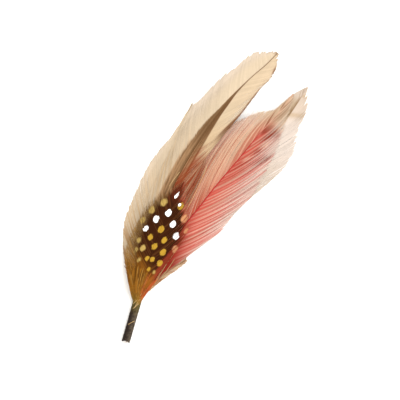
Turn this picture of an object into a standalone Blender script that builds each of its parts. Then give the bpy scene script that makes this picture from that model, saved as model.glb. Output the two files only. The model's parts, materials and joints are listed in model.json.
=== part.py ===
"""A hat feather: seven small feathers laid on each other, their quills bound in a dark taped stem.

The bunch lies on a surface, with its stem along -Y and its tips along +Y. Sizes are in millimetres here
and are turned to metres when a mesh is made. Every feather is one solid: a quill and shaft, and two
vanes whose barbs part into locks.
"""

import math
import random
from dataclasses import dataclass

import bmesh
import bpy
import numpy as np

MM = 0.001

# The taped stem, along the line from its cut end to its mouth, where the feathers come out.
STEM_END = (3.2, -16.2)
STEM_MOUTH = (-0.1, 0.6)
STEM_END_RADIUS = 1.6
STEM_MOUTH_RADIUS = 1.7
STEM_WALL = 0.26
STEM_SIDES = 12
STEM_RINGS = 9
TAPE_LAP = 0.07
LAPPED_SHARE = 0.9
TAPE_COLOUR = (0.05, 0.04, 0.03)
TAPE_ROUGHNESS = 0.75

# The quills run side by side through the stem, bare at both ends, and reach their own shafts above it.
QUILL_SET_BACK = 0.5
QUILL_BARE = 0.4
QUILL_RADIUS = 0.22
TIP_RADIUS = 0.10
SIDE_BY_SIDE_FROM = -3.0
OWN_PLACE_FROM = 6.0
TAPER_FROM = 10.0

# The height of the lowest feather along the middle of the bunch, and the bunch's middle and half width.
ARCH = {-17: 1.2, 0: 1.2, 8: 1.7, 22: 3.0, 45: 4.6, 70: 4.6, 92: 3.2, 108: 1.4, 117: 0.6}
MIDDLE = {-17: 0.0, 0: 0.0, 15: -3.5, 30: -3.8, 50: -1.0, 80: 6.3, 100: 8.4, 117: 8.5}
HALF_WIDTH = {-17: 8.0, 0: 8.0, 15: 13.0, 30: 16.0, 50: 20.3, 80: 22.8, 100: 17.5, 117: 12.0}
EDGE_DROP = 1.3
LAYER_PITCH = 0.8
MOUTH_PITCH = 0.29
FAN_OUT = 6.5

# Where each feather ends along y, so that those above it come down, and where the side feather ends in x.
SMALL_ENDS = (30, 48)
PALE_ENDS = (96, 108)
RED_ENDS = (82, 106)
SIDE_ENDS = (82, 100)
OUTBOARD_EDGE = (-18, -4)

# The vanes, as shares of a barb's length where no unit is said: the notch between two locks, the deeper
# notch where a vane has split, and how unevenly the locks end.
VANE_ROOT_THICKNESS = 0.30
VANE_EDGE_THICKNESS = 0.20
VALLEY_DEPTH = 0.05
BARB_BOW = math.radians(9)
BARB_STEPS = 3
BARB_START = 0.8
LOCK_NOTCH = (0.05, 0.12)
SPLIT_NOTCH = 0.15
UNEVEN_ENDS = 0.03
VANE_ROUGHNESS = 0.8
SHARP_ANGLE = math.radians(40)


@dataclass
class Feather:
    """One feather, seen from above. shaft gives x at y. Each row of left and right is one barb.

    A row holds the y where the barb leaves the shaft, and the x and y where it ends, so that the ends
    of all the rows are the feather's outline.
    """

    name: str
    layer: int
    quill_side: float
    shaft: dict
    left: tuple
    right: tuple
    locks: int
    colour: tuple
    left_splits: tuple = ()
    right_splits: tuple = ()
    seed: int = 1


CREAM = Feather(
    name="cream_feather",
    layer=4,
    quill_side=0.36,
    shaft={
        12: -3.5,
        28: -6.5,
        45: -8.1,
        56: -8.0,
        68: -7.1,
        80: -5.4,
        92: -2.9,
        101: 0.0,
        108: 2.9,
        114.3: 4.9,
    },
    left=(
        (4, -5.0, 9.0),
        (10, -11.5, 24.0),
        (20, -14.8, 36.0),
        (31, -15.6, 48.0),
        (43, -15.8, 61.0),
        (54, -16.2, 74.5),
        (60, -16.0, 80.6),
        (65, -14.4, 83.9),
        (73, -12.5, 90.8),
        (81, -10.4, 97.3),
        (89, -7.5, 102.0),
        (97, -4.9, 109.0),
        (104, -2.4, 111.6),
        (110, 1.0, 113.6),
        (114, 4.3, 114.8),
    ),
    right=(
        (4, 0.9, 10.0),
        (13, 1.0, 25.0),
        (24, 0.4, 38.0),
        (37, 0.0, 53.0),
        (46, -0.9, 61.5),
        (52, -2.2, 66.5),
        (63, 0.2, 76.0),
        (74.5, 3.0, 86.0),
        (85, 4.9, 95.8),
        (91, 5.9, 100.2),
        (95, 7.3, 103.9),
        (101, 7.6, 107.5),
        (107, 7.0, 110.6),
        (114, 5.6, 114.5),
    ),
    left_splits=(96.0,),
    locks=24,
    colour=(0.80, 0.62, 0.41),
    seed=3,
)
CREAM_SIDE = Feather(
    name="cream_side_feather",
    layer=3,
    quill_side=-0.36,
    shaft={9: -2.8, 20: -7.0, 40: -12.0, 62: -15.3, 80.8: -16.5},
    left=(
        (4, -8.0, 8.2),
        (7, -12.6, 13.2),
        (11, -17.0, 20.6),
        (16, -19.8, 28.0),
        (23, -20.6, 37.0),
        (34, -21.1, 48.0),
        (45, -20.2, 57.0),
        (55, -18.2, 65.0),
        (65, -17.2, 72.5),
        (74, -16.8, 78.0),
        (80.5, -16.6, 81.2),
    ),
    right=(
        (5, -2.2, 13.0),
        (20, -4.6, 33.0),
        (40, -8.6, 55.0),
        (55, -11.9, 68.5),
        (68, -14.4, 77.0),
        (80.5, -16.3, 81.2),
    ),
    locks=14,
    colour=(0.78, 0.60, 0.42),
    seed=4,
)
RED = Feather(
    name="red_feather",
    layer=2,
    quill_side=0.36,
    shaft={12: 1.8, 25: 2.4, 37: 3.3, 44: 4.8, 54: 6.7, 69: 10.2, 82: 13.1, 92: 15.7, 102.6: 18.0},
    left=(
        (5, -2.2, 12.0),
        (14, -4.0, 26.0),
        (24, -4.4, 38.0),
        (34, -4.0, 50.0),
        (43, -3.2, 60.0),
        (50, -2.2, 68.0),
        (57, 0.0, 77.0),
        (63, 3.0, 83.4),
        (68, 6.3, 87.0),
        (73, 9.0, 90.3),
        (79, 12.0, 92.2),
        (86, 15.0, 95.0),
        (93, 16.6, 98.6),
        (102.3, 17.8, 102.8),
    ),
    right=(
        (5, 2.9, 10.0),
        (9, 4.9, 18.5),
        (11, 6.8, 24.0),
        (12.4, 10.0, 27.2),
        (14.5, 12.6, 31.6),
        (17, 14.9, 36.0),
        (20, 17.2, 40.6),
        (23.5, 18.5, 46.8),
        (27, 19.5, 52.0),
        (32, 22.0, 59.6),
        (38, 22.2, 66.0),
        (46, 22.5, 74.0),
        (56, 22.0, 82.5),
        (67, 21.0, 90.0),
        (78, 19.9, 96.5),
        (90, 19.0, 100.8),
        (102.3, 18.3, 102.8),
    ),
    right_splits=(21.5, 28.5),
    locks=20,
    colour=(0.63, 0.13, 0.09),
    seed=5,
)
PALE = Feather(
    name="pale_barred_feather",
    layer=1,
    quill_side=-0.36,
    shaft={10: 2.0, 30: 5.0, 55: 10.2, 78: 16.3, 88: 19.2, 99: 20.9, 107.5: 21.8},
    left=(
        (8, 0.2, 17.0),
        (20, 1.6, 36.0),
        (40, 4.4, 58.0),
        (60, 9.4, 78.0),
        (72, 13.2, 89.5),
        (80, 15.5, 95.8),
        (88, 17.5, 101.2),
        (95, 18.9, 104.2),
        (102, 20.4, 106.4),
        (107.2, 21.6, 107.8),
    ),
    right=(
        (8, 5.4, 17.0),
        (14, 12.0, 32.0),
        (20, 17.0, 44.0),
        (28, 20.2, 54.0),
        (34, 22.8, 60.8),
        (38, 25.0, 65.8),
        (45, 27.4, 71.8),
        (51, 28.7, 76.5),
        (57, 29.0, 81.0),
        (63, 28.4, 84.6),
        (69, 27.4, 88.8),
        (75, 26.3, 92.6),
        (81, 26.2, 97.4),
        (87, 25.6, 100.5),
        (94, 24.4, 103.3),
        (101, 22.9, 106.0),
        (107.2, 22.0, 107.8),
    ),
    right_splits=(66.0,),
    locks=20,
    colour=(0.88, 0.74, 0.62),
    seed=7,
)
SPOTTED = Feather(
    name="spotted_feather",
    layer=6,
    quill_side=0.36,
    shaft={10: -1.8, 18: -3.2, 26: -4.2, 37: -4.8, 51.5: -5.0},
    left=(
        (4, -3.6, 9.5),
        (8, -8.8, 15.6),
        (13, -12.6, 21.8),
        (19, -14.6, 29.6),
        (26, -14.6, 36.6),
        (33, -12.6, 42.2),
        (39, -9.6, 46.2),
        (45, -7.2, 50.0),
        (51.2, -5.3, 51.9),
    ),
    right=(
        (4, 1.8, 9.5),
        (8, 3.5, 17.0),
        (14, 4.8, 25.0),
        (20, 5.7, 32.0),
        (27, 4.9, 37.8),
        (34, 2.8, 41.6),
        (41, -0.3, 45.8),
        (47, -3.1, 49.4),
        (51.2, -4.7, 51.9),
    ),
    locks=14,
    colour=(0.07, 0.02, 0.006),
    seed=11,
)
GOLD = Feather(
    name="gold_feather",
    layer=5,
    quill_side=-0.36,
    shaft={8: -2.4, 14: -4.4, 25: -7.0, 44: -8.6},
    left=(
        (3.0, -3.6, 3.6),
        (4.2, -6.6, 5.8),
        (5.5, -10.2, 9.4),
        (8, -13.0, 14.0),
        (13, -14.8, 21.0),
        (19, -14.8, 28.5),
        (27, -13.2, 36.0),
        (36, -10.6, 42.0),
        (43.8, -8.8, 44.6),
    ),
    right=(
        (3.0, 0.2, 7.4),
        (9, 0.6, 17.0),
        (18, -0.6, 28.0),
        (28, -3.2, 37.0),
        (37, -6.4, 42.6),
        (43.8, -8.4, 44.6),
    ),
    locks=12,
    colour=(0.42, 0.17, 0.02),
    seed=13,
)
SMALL = Feather(
    name="small_barred_feather",
    layer=0,
    quill_side=0.36,
    shaft={8: 2.0, 14: 4.3, 19: 6.9, 24: 10.0},
    left=(
        (4, 0.4, 8.0),
        (9, 1.4, 15.0),
        (14, 3.8, 21.0),
        (19, 7.0, 24.4),
        (23.8, 9.6, 25.0),
    ),
    right=(
        (3, 2.3, 5.4),
        (6, 3.7, 9.0),
        (9, 4.9, 11.8),
        (12.5, 7.0, 15.8),
        (16.5, 9.0, 19.3),
        (20.5, 10.4, 22.2),
        (23.8, 10.9, 24.4),
    ),
    locks=8,
    colour=(0.55, 0.28, 0.13),
    seed=17,
)
FEATHERS = (SMALL, PALE, RED, CREAM_SIDE, CREAM, GOLD, SPOTTED)
TOP_LAYER = len(FEATHERS) - 1


def through(xs, ys, at):
    """A smooth curve through the points, read at one position or at many."""
    xs, ys = np.array(xs, float), np.array(ys, float)
    slopes = np.gradient(ys, xs)
    at = np.clip(at, xs[0], xs[-1])
    i = np.clip(np.searchsorted(xs, at, side="right") - 1, 0, len(xs) - 2)
    step = xs[i + 1] - xs[i]
    t = (at - xs[i]) / step
    return (
        ys[i] * (1 + 2 * t) * (1 - t) ** 2
        + slopes[i] * step * t * (1 - t) ** 2
        + ys[i + 1] * t * t * (3 - 2 * t)
        + slopes[i + 1] * step * t * t * (t - 1)
    )


def along(knots, at):
    """The smooth curve through knots {position: value}."""
    places = sorted(knots)
    return through(places, [knots[place] for place in places], at)


def ease(low, high, at):
    """0 below low, 1 above high, and a smooth rise between them."""
    t = np.clip((at - low) / (high - low), 0, 1)
    return t * t * (3 - 2 * t)


def stem_share(y):
    return (y - STEM_END[1]) / (STEM_MOUTH[1] - STEM_END[1])


def stem_x(y):
    """x of the stem's middle line at y."""
    return STEM_END[0] + stem_share(y) * (STEM_MOUTH[0] - STEM_END[0])


def stem_radius(y):
    return STEM_END_RADIUS + stem_share(y) * (STEM_MOUTH_RADIUS - STEM_END_RADIUS)


def stem_height(y):
    """Height of the stem's middle line, with the lowest of its flat sides on the surface."""
    return stem_radius(y) * math.cos(math.pi / STEM_SIDES)


def lowest_layer(x, y):
    """The arched surface that the lowest feather follows: high in the middle, flat at both edges."""
    across = (x - along(MIDDLE, y)) / along(HALF_WIDTH, y)
    return np.maximum(along(ARCH, y) * (1 - EDGE_DROP * across * across), VANE_EDGE_THICKNESS / 2)


def feathers_below(layer, x, y):
    """How many feathers a feather lies on here, with a smooth change where one of them ends."""
    over_small = 1 - ease(*SMALL_ENDS, y)
    over_pale = 1 - ease(*PALE_ENDS, y)
    over_red = 1 - ease(*RED_ENDS, y)
    over_side = 1 - ease(*SIDE_ENDS, y)
    inboard = ease(*OUTBOARD_EDGE, x)
    below = [0.0, over_small, over_small * inboard + over_pale]
    below.append((over_small + over_pale + over_red) * inboard)
    below.append(below[3] + over_side)
    below.append(below[4] + 1)
    below.append(below[5] + 1)
    return below[layer]


def height(layer, x, y):
    """Height of a feather's middle surface. The feathers fan out from the stem's mouth."""
    away = np.hypot(x - STEM_MOUTH[0], y - STEM_MOUTH[1])
    fanned = np.where(y < STEM_MOUTH[1], 0.0, ease(0, FAN_OUT, away))
    in_mouth = stem_height(np.minimum(y, STEM_MOUTH[1])) + MOUTH_PITCH * (layer - TOP_LAYER / 2)
    laid = lowest_layer(x, y) + LAYER_PITCH * feathers_below(layer, x, y)
    return in_mouth + fanned * (laid - in_mouth)


def shaft_x(feather, y):
    """x of a feather's shaft at y. In the stem the quills lie side by side."""
    knots = {at: stem_x(at) for at in (STEM_END[1], SIDE_BY_SIDE_FROM, STEM_MOUTH[1])}
    return along(knots | feather.shaft, y) + feather.quill_side * (1 - ease(STEM_MOUTH[1], OWN_PLACE_FROM, y))


def shaft_radius(feather, y):
    return TIP_RADIUS + (QUILL_RADIUS - TIP_RADIUS) * (1 - ease(TAPER_FROM, max(feather.shaft), y))


def shaft_direction(feather, y):
    """The unit direction of the shaft at y, seen from above."""
    step = 0.5
    lean = (shaft_x(feather, y + step) - shaft_x(feather, y - step)) / (2 * step)
    return np.array([lean, 1.0]) / math.hypot(lean, 1.0)


def barb(rows, root, side, start, shown):
    """Points of the barb that leaves the shaft at root: a curve that bows out from its chord."""
    roots, xs, ys = zip(*rows)
    end = np.array([through(roots, xs, root[1]), through(roots, ys, root[1])])
    reach = (end - start) / 2
    turn = -side * BARB_BOW
    bowed = start + np.array(
        [
            reach[0] * math.cos(turn) - reach[1] * math.sin(turn),
            reach[0] * math.sin(turn) + reach[1] * math.cos(turn),
        ]
    )
    t = np.linspace(0, shown, BARB_STEPS + 1)[:, None]
    return start * (1 - t) ** 2 + bowed * 2 * t * (1 - t) + end * t * t


def quill_ring(feather, y, count):
    """A round section of the bare quill."""
    direction = shaft_direction(feather, y)
    x, radius = shaft_x(feather, y), shaft_radius(feather, y)
    z = height(feather.layer, x, y)
    turn = math.pi - (np.arange(count) + 0.5) * 2 * math.pi / count
    outward = radius * np.cos(turn)
    return np.column_stack([x + outward * direction[1], y - outward * direction[0], z + radius * np.sin(turn)])


def barb_ring(feather, y, shown, sunk):
    """A section along the two barbs that leave the shaft at y: out and back over the top, then below."""
    direction = shaft_direction(feather, y)
    root = np.array([shaft_x(feather, y), y])
    radius = shaft_radius(feather, y)
    root_z = float(height(feather.layer, *root))
    share = np.linspace(0, 1, BARB_STEPS + 1)
    thick = VANE_ROOT_THICKNESS + (VANE_EDGE_THICKNESS - VANE_ROOT_THICKNESS) * share
    upper, lower = [], []
    for side, rows, part in ((-1, feather.left, shown[0]), (1, feather.right, shown[1])):
        start = root + side * BARB_START * radius * np.array([direction[1], -direction[0]])
        points = barb(rows, root, side, start, part)
        z = np.maximum(height(feather.layer, points[:, 0], points[:, 1]) - sunk * share, thick / 2)
        upper.append(np.column_stack([points, z + thick / 2]))
        lower.append(np.column_stack([points, z - thick / 2]))
    crest = [[*root, root_z + radius]]
    keel = [[*root, max(root_z - radius, 0.0)]]
    return np.vstack([upper[0][::-1], crest, upper[1], lower[1][::-1], keel, lower[0]])


def feather_rings(feather):
    """The sections of a feather from its cut quill to its tip. Each lock is a ridge between two valleys."""
    draw = random.Random(feather.seed)
    count = 4 * BARB_STEPS + 6
    first = max(feather.left[0][0], feather.right[0][0])
    last = min(feather.left[-1][0], feather.right[-1][0])
    cut = STEM_END[1] + QUILL_SET_BACK
    mouth = STEM_MOUTH[1] + QUILL_BARE
    quill = (cut, (cut + mouth) / 2, mouth, first - 2 * QUILL_BARE)
    rings = [quill_ring(feather, y, count) for y in quill]
    stations = 2 * feather.locks
    roots = np.linspace(first, last, stations + 1)
    spacing = roots[1] - roots[0]
    for k, y in enumerate(roots):
        valley = k % 2 == 0 and 0 < k < stations
        shown = []
        for splits in (feather.left_splits, feather.right_splits):
            parted = any(abs(y - at) <= spacing for at in splits)
            notch = draw.uniform(*LOCK_NOTCH) + (SPLIT_NOTCH if parted else 0.0)
            shown.append(1 - notch if valley else 1 - draw.uniform(0, UNEVEN_ENDS))
        rings.append(barb_ring(feather, y, shown, VALLEY_DEPTH if valley else 0.0))
    return rings


def plain_material(name, colour, roughness):
    material = bpy.data.materials.new(name)
    material.use_nodes = True
    shader = material.node_tree.nodes["Principled BSDF"]
    shader.inputs["Base Color"].default_value = (*colour, 1)
    shader.inputs["Roughness"].default_value = roughness
    shader.inputs["Metallic"].default_value = 0.0
    return material


def finished(name, shape, material):
    """Makes an object of a bmesh in millimetres, with its faces turned out and rounds shaded smooth."""
    bmesh.ops.recalc_face_normals(shape, faces=shape.faces)
    bmesh.ops.scale(shape, vec=(MM, MM, MM), verts=shape.verts)
    mesh = bpy.data.meshes.new(name)
    shape.to_mesh(mesh)
    shape.free()
    mesh.shade_smooth()
    mesh.set_sharp_from_angle(angle=SHARP_ANGLE)
    mesh.materials.append(material)
    piece = bpy.data.objects.new(name, mesh)
    bpy.context.scene.collection.objects.link(piece)
    return piece


def skin(shape, rings):
    """Joins each ring to the next with faces, and returns the rings' vertices."""
    made = [[shape.verts.new(point) for point in ring] for ring in rings]
    count = len(made[0])
    for low, high in zip(made, made[1:]):
        for m in range(count):
            n = (m + 1) % count
            shape.faces.new((low[m], low[n], high[n], high[m]))
    return made


def make_feather(feather):
    shape = bmesh.new()
    made = skin(shape, feather_rings(feather))
    shape.faces.new(made[0])
    tip = made[-1]
    for m in range(len(tip) // 2 - 1):
        shape.faces.new((tip[m], tip[m + 1], tip[-2 - m], tip[-1 - m]))
    return finished(feather.name, shape, plain_material(feather.name, feather.colour, VANE_ROUGHNESS))


def make_stem_wrap():
    """The tape round the quills: a tube that is a little wider at its mouth, with a step at each lap."""
    shape = bmesh.new()
    lean = math.atan2(STEM_MOUTH[0] - STEM_END[0], STEM_MOUTH[1] - STEM_END[1])
    turn = (np.arange(STEM_SIDES) + 0.5) * 2 * math.pi / STEM_SIDES + math.pi / 2
    walls = []
    for inset in (0.0, STEM_WALL):
        rings = []
        for k, y in enumerate(np.linspace(STEM_END[1], STEM_MOUTH[1], STEM_RINGS)):
            radius = stem_radius(y) - inset
            lapped = TAPE_LAP if k % 2 and not inset else 0.0
            outward, up = radius * np.cos(turn), radius * np.sin(turn)
            outward = outward * np.where(np.abs(up) < LAPPED_SHARE * radius, 1 + lapped / radius, 1.0)
            rings.append(
                np.column_stack(
                    [
                        stem_x(y) + outward * math.cos(lean),
                        y - outward * math.sin(lean),
                        stem_height(y) + up,
                    ]
                )
            )
        walls.append(skin(shape, rings))
    for end in (0, -1):
        outer, inner = walls[0][end], walls[1][end]
        for m in range(STEM_SIDES):
            n = (m + 1) % STEM_SIDES
            shape.faces.new((outer[m], outer[n], inner[n], inner[m]))
    return finished("stem_wrap", shape, plain_material("stem_wrap", TAPE_COLOUR, TAPE_ROUGHNESS))


def centre_on_origin(pieces):
    """Moves the meshes so that the middle of the bunch's base is at the origin."""
    corners = np.array([v.co for piece in pieces for v in piece.data.vertices])
    low, high = corners.min(axis=0), corners.max(axis=0)
    middle = (low + high) / 2
    for piece in pieces:
        for v in piece.data.vertices:
            v.co.x -= middle[0]
            v.co.y -= middle[1]
            v.co.z -= low[2]


def main():
    for leftover in list(bpy.data.objects):
        bpy.data.objects.remove(leftover)
    bunch = bpy.data.objects.new("feather_bunch", None)
    bpy.context.scene.collection.objects.link(bunch)
    pieces = [make_feather(feather) for feather in FEATHERS]
    pieces.append(make_stem_wrap())
    centre_on_origin(pieces)
    for piece in pieces:
        piece.parent = bunch


main()
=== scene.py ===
"""A bunch of seven hat feathers, each grown barb by barb and bound with the others in a taped stem.

A barb is a thin closed strip that leaves the shaft, runs along its own curve and ends on the feather's
outline. Neighbouring barbs zip into locks, and locks part at their ends. Lengths in the tables are
millimetres in the bunch's own plan: +Y runs from the stem to the tips.
"""

import json
import math
from dataclasses import dataclass, field

import bmesh
import bpy
import numpy as np
from bpy.props import FloatProperty, FloatVectorProperty, IntProperty, PointerProperty
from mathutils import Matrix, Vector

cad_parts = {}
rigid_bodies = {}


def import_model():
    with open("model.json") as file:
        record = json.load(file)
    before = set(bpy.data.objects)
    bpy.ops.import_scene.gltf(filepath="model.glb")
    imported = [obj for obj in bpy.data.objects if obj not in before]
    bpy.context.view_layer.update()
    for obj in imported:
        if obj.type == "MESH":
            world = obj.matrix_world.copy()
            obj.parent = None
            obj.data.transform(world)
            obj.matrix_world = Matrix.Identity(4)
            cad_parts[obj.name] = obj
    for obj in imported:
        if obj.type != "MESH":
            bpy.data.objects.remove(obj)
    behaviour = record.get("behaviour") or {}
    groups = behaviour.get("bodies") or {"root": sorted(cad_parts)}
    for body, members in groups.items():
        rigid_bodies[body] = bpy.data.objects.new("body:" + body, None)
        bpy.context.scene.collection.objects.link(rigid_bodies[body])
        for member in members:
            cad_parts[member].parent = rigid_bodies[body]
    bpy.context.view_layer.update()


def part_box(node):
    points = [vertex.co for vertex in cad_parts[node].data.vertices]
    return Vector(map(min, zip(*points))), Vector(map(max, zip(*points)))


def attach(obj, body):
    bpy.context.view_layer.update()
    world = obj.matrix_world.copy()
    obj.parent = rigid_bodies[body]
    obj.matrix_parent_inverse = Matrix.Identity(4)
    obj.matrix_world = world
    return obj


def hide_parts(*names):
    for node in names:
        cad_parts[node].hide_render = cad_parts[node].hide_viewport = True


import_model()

bl_info = {
    "name": "Hat Feather Bunch",
    "version": (1, 0, 0),
    "blender": (4, 5, 0),
    "location": "3D View > Sidebar > Feathers",
    "description": "Grows a bunch of hat feathers barb by barb, bound in a taped stem",
    "category": "Add Mesh",
}

MM = 0.001
BODY = "root"

# The plan's place in the frame: the middle of the stem's tape in the plan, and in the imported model.
TAPE_MIDDLE = np.array([1.503, -7.791])
TAPE_LOW, TAPE_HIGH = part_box("stem_wrap")
PLAN_SHIFT = np.array([TAPE_LOW.x + TAPE_HIGH.x, TAPE_LOW.y + TAPE_HIGH.y]) / (2 * MM) - TAPE_MIDDLE

# The taped stem, from its cut end to its mouth.
STEM_END = (3.2, -16.2)
STEM_MOUTH = (-0.1, 0.6)
STEM_END_RADIUS = 1.6
STEM_MOUTH_RADIUS = 1.7
STEM_SIDES = 12
# The tape's turns, the thickness of its wall, and how far a lap steps out over the one before.
TAPE_TURNS = 9
TAPE_WALL = 0.24
TAPE_LAP = 0.07
# The cut end has a lobe at each side: how far they stand out, how far they reach beyond the middle, and how
# far the middle is set back.
CUT_LOBE = 0.05
CUT_REACH = 0.5
CUT_SET_BACK = 0.3

# Heights: the lowest feather's arch along the bunch, with the x of its ridge and its half width there.
ARCH = {-17: 1.2, 0: 1.2, 8: 1.7, 22: 3.0, 45: 4.6, 70: 4.6, 92: 3.2, 108: 1.4, 117: 0.6}
MIDDLE = {-17: 0.0, 0: 0.0, 15: -3.5, 30: -3.8, 50: -1.0, 80: 6.3, 100: 8.4, 117: 8.5}
HALF_WIDTH = {-17: 8.0, 0: 8.0, 15: 13.0, 30: 16.0, 50: 20.3, 80: 22.8, 100: 17.5, 117: 12.0}
# How far the arch drops to its edges, and how high they lie. How far apart layers lie over the bunch and in
# the stem, the number of the top one, and how far from the mouth they have fanned out.
EDGE_DROP = 1.3
EDGE_HEIGHT = 0.1
LAYER_PITCH = 0.8
MOUTH_PITCH = 0.29
TOP_LAYER = 6
FAN_OUT = 6.5
# Where along the bunch a feather comes down off the small, the pale, the red or the side feather under it,
# and where across the bunch the left ones have come off the ones at the right.
OFF_SMALL = (30, 48)
OFF_PALE = (96, 108)
OFF_RED = (82, 106)
OFF_SIDE = (82, 100)
INBOARD = (-18, -4)
# The quills lie side by side up to the mouth. Beyond it each shaft takes its own way, and tapers.
BEFORE_MOUTH = -3.0
OWN_WAY_FROM = 6.0
TAPER_FROM = 10
# Radius of a quill and of a shaft's tip, how far a quill ends inside the cut, and how far a shaft stands out
# of its vane and is broader than the quill.
QUILL_RADIUS = 0.22
TIP_RADIUS = 0.10
QUILL_SET_BACK = 0.15
SHAFT_PROUD = 0.10
SHAFT_BROADER = 0.35


@dataclass
class Vane:
    """How the barbs of one vane grow, in millimetres.

    spacing is measured along the shaft, and cover is a barb's width over the gap to the next one. lock and
    fine are the widths of a lock and of a group of barbs of one tone. Above free_from the outline is free:
    there each lock ends in a tooth, notch deep along the barb. pinch draws a lock's ends together, fringe
    is how much single barbs fall short, and stray is the share that has come loose. thin_out narrows the
    barbs towards their ends, curl makes them wavy, lift tilts each lock, droop lets the ends down, and bow
    is how much more the barbs bow.
    """

    spacing: float = 0.24
    cover: float = 1.9
    lock: float = 2.0
    fine: float = 0.5
    bow: float = 1.0
    pinch: float = 0.0
    notch: float = 0.0
    free_from: float = 0.0
    fringe: float = 0.3
    stray: float = 0.015
    thin_out: float = 0.0
    curl: float = 0.0
    lift: float = 0.06
    droop: float = 0.0


@dataclass
class Feather:
    """One feather. shaft gives x at y. A row of left or right is a barb's root y and where it ends.

    tones says how much a lock, a group of barbs and a single barb each add to a barb's tone.
    """

    node: str
    slot: str
    layer: int
    quill_side: float
    shaft: dict
    left: tuple
    right: tuple
    left_vane: Vane = field(default_factory=Vane)
    right_vane: Vane = field(default_factory=Vane)
    rings: int = 12
    tones: tuple = (0.3, 0.5, 0.2)
    seed: int = 1


CREAM = Feather(
    node="cream_feather",
    slot="cream_vane",
    layer=4,
    quill_side=0.36,
    shaft={
        12: -3.5, 28: -6.5, 45: -8.1, 56: -8.0, 68: -7.1, 80: -5.4, 92: -2.9, 101: 0.0, 108: 2.9, 114.3: 4.9,
    },
    left=(
        (4, -5, 9), (8, -11.5, 24), (14, -14.8, 36), (24, -15.6, 48), (37, -15.8, 61), (51, -16.2, 74.5),
        (58, -16, 80.6), (65, -14.4, 83.9), (73, -12.5, 90.8), (81, -10.4, 97.3), (89, -7.5, 102),
        (97, -4.9, 109), (104, -2.4, 111.6), (110, 1, 113.6), (114, 4.3, 114.8),
    ),
    right=(
        (3, 0.9, 10), (6, 1, 25), (10, 0.4, 38), (16, 0, 53), (22, -0.9, 61.5), (30, -2.2, 66.5),
        (46, 0.2, 76), (65, 3, 86), (81, 4.9, 95.8), (90, 5.9, 100.2), (95, 7.3, 103.9), (101, 7.6, 107.5),
        (107, 7, 110.6), (114, 5.6, 114.5),
    ),
    left_vane=Vane(lock=2.2, fine=0.4, notch=1.05, free_from=58.0, droop=0.5, lift=0.03, bow=1.3),
    right_vane=Vane(lock=1.4, fine=0.35, notch=0.8, free_from=92.0, droop=1.3, lift=0.03),
    rings=24,
    tones=(0.1, 0.5, 0.4),
    seed=3,
)
CREAM_SIDE = Feather(
    node="cream_side_feather",
    slot="cream_vane",
    layer=3,
    quill_side=-0.36,
    shaft={9: -2.8, 20: -7.0, 40: -12.0, 62: -15.3, 80.8: -16.5},
    left=(
        (4, -8, 8.2), (7, -12.6, 13.2), (11, -17, 20.6), (16, -19.8, 28), (23, -20.6, 37), (34, -21.1, 48),
        (45, -20.2, 57), (55, -18.2, 65), (65, -17.2, 72.5), (74, -16.8, 78), (80.5, -16.6, 81.2),
    ),
    right=(
        (5, -2.2, 13), (20, -4.6, 33), (40, -8.6, 55), (55, -11.9, 68.5), (68, -14.4, 77),
        (80.5, -16.3, 81.2),
    ),
    left_vane=Vane(lock=1.8, notch=0.7, free_from=8.0, fine=0.4),
    seed=4,
)
RED = Feather(
    node="red_feather",
    slot="red_vane",
    layer=2,
    quill_side=0.36,
    shaft={12: 1.8, 25: 2.4, 37: 3.3, 44: 4.8, 54: 6.7, 69: 10.2, 82: 13.1, 92: 15.7, 102.6: 18.0},
    left=(
        (3, -2.2, 12), (5, -4, 26), (8, -4.4, 38), (11, -4, 50), (14, -3.2, 60), (17.5, -2.2, 68),
        (23, 0, 77), (30, 3, 83.4), (38, 6.3, 87), (47, 9, 90.3), (57, 12, 92.2), (69, 15, 95),
        (82, 16.6, 98.6), (102.3, 17.8, 102.8),
    ),
    right=(
        (5, 2.9, 10), (9, 4.9, 18.5), (11, 6.8, 24), (12.4, 10, 27.2), (14.5, 12.6, 31.6), (17, 14.9, 36),
        (20, 17.2, 40.6), (23.5, 18.5, 46.8), (27, 19.5, 52), (32, 22, 59.6), (38, 22.2, 66),
        (46, 22.5, 74), (56, 22, 82.5), (67, 21, 90), (78, 19.9, 96.5), (90, 19, 100.8),
        (102.3, 18.3, 102.8),
    ),
    left_vane=Vane(spacing=0.16, lock=0.9, fine=0.25, notch=1.5, free_from=18.0, droop=0.2, bow=1.6),
    right_vane=Vane(spacing=0.18, lock=1.0, fine=0.3, pinch=0.12, notch=1.9, droop=0.3, stray=0.0),
    seed=5,
)
PALE = Feather(
    node="pale_barred_feather",
    slot="pale_barred_vane",
    layer=1,
    quill_side=-0.36,
    shaft={10: 2.0, 30: 5.0, 55: 10.2, 78: 16.3, 88: 19.2, 99: 20.9, 107.5: 21.8},
    left=(
        (8, 0.2, 17), (20, 1.6, 36), (40, 4.4, 58), (60, 9.4, 78), (72, 13.2, 89.5), (80, 15.5, 95.8),
        (88, 17.5, 101.2), (95, 18.9, 104.2), (102, 20.4, 106.4), (107.2, 21.6, 107.8),
    ),
    right=(
        (8, 5.4, 17), (14, 12, 32), (20, 17, 44), (28, 20.2, 54), (34, 22.8, 60.8), (38, 25, 65.8),
        (45, 27.4, 71.8), (51, 28.7, 76.5), (57, 29, 81), (63, 28.4, 84.6), (69, 27.4, 88.8),
        (75, 26.3, 92.6), (81, 26.2, 97.4), (87, 25.6, 100.5), (94, 24.4, 103.3), (101, 22.9, 106),
        (107.2, 22, 107.8),
    ),
    right_vane=Vane(lock=2.0, pinch=0.03, notch=1.3),
    seed=7,
)
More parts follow.
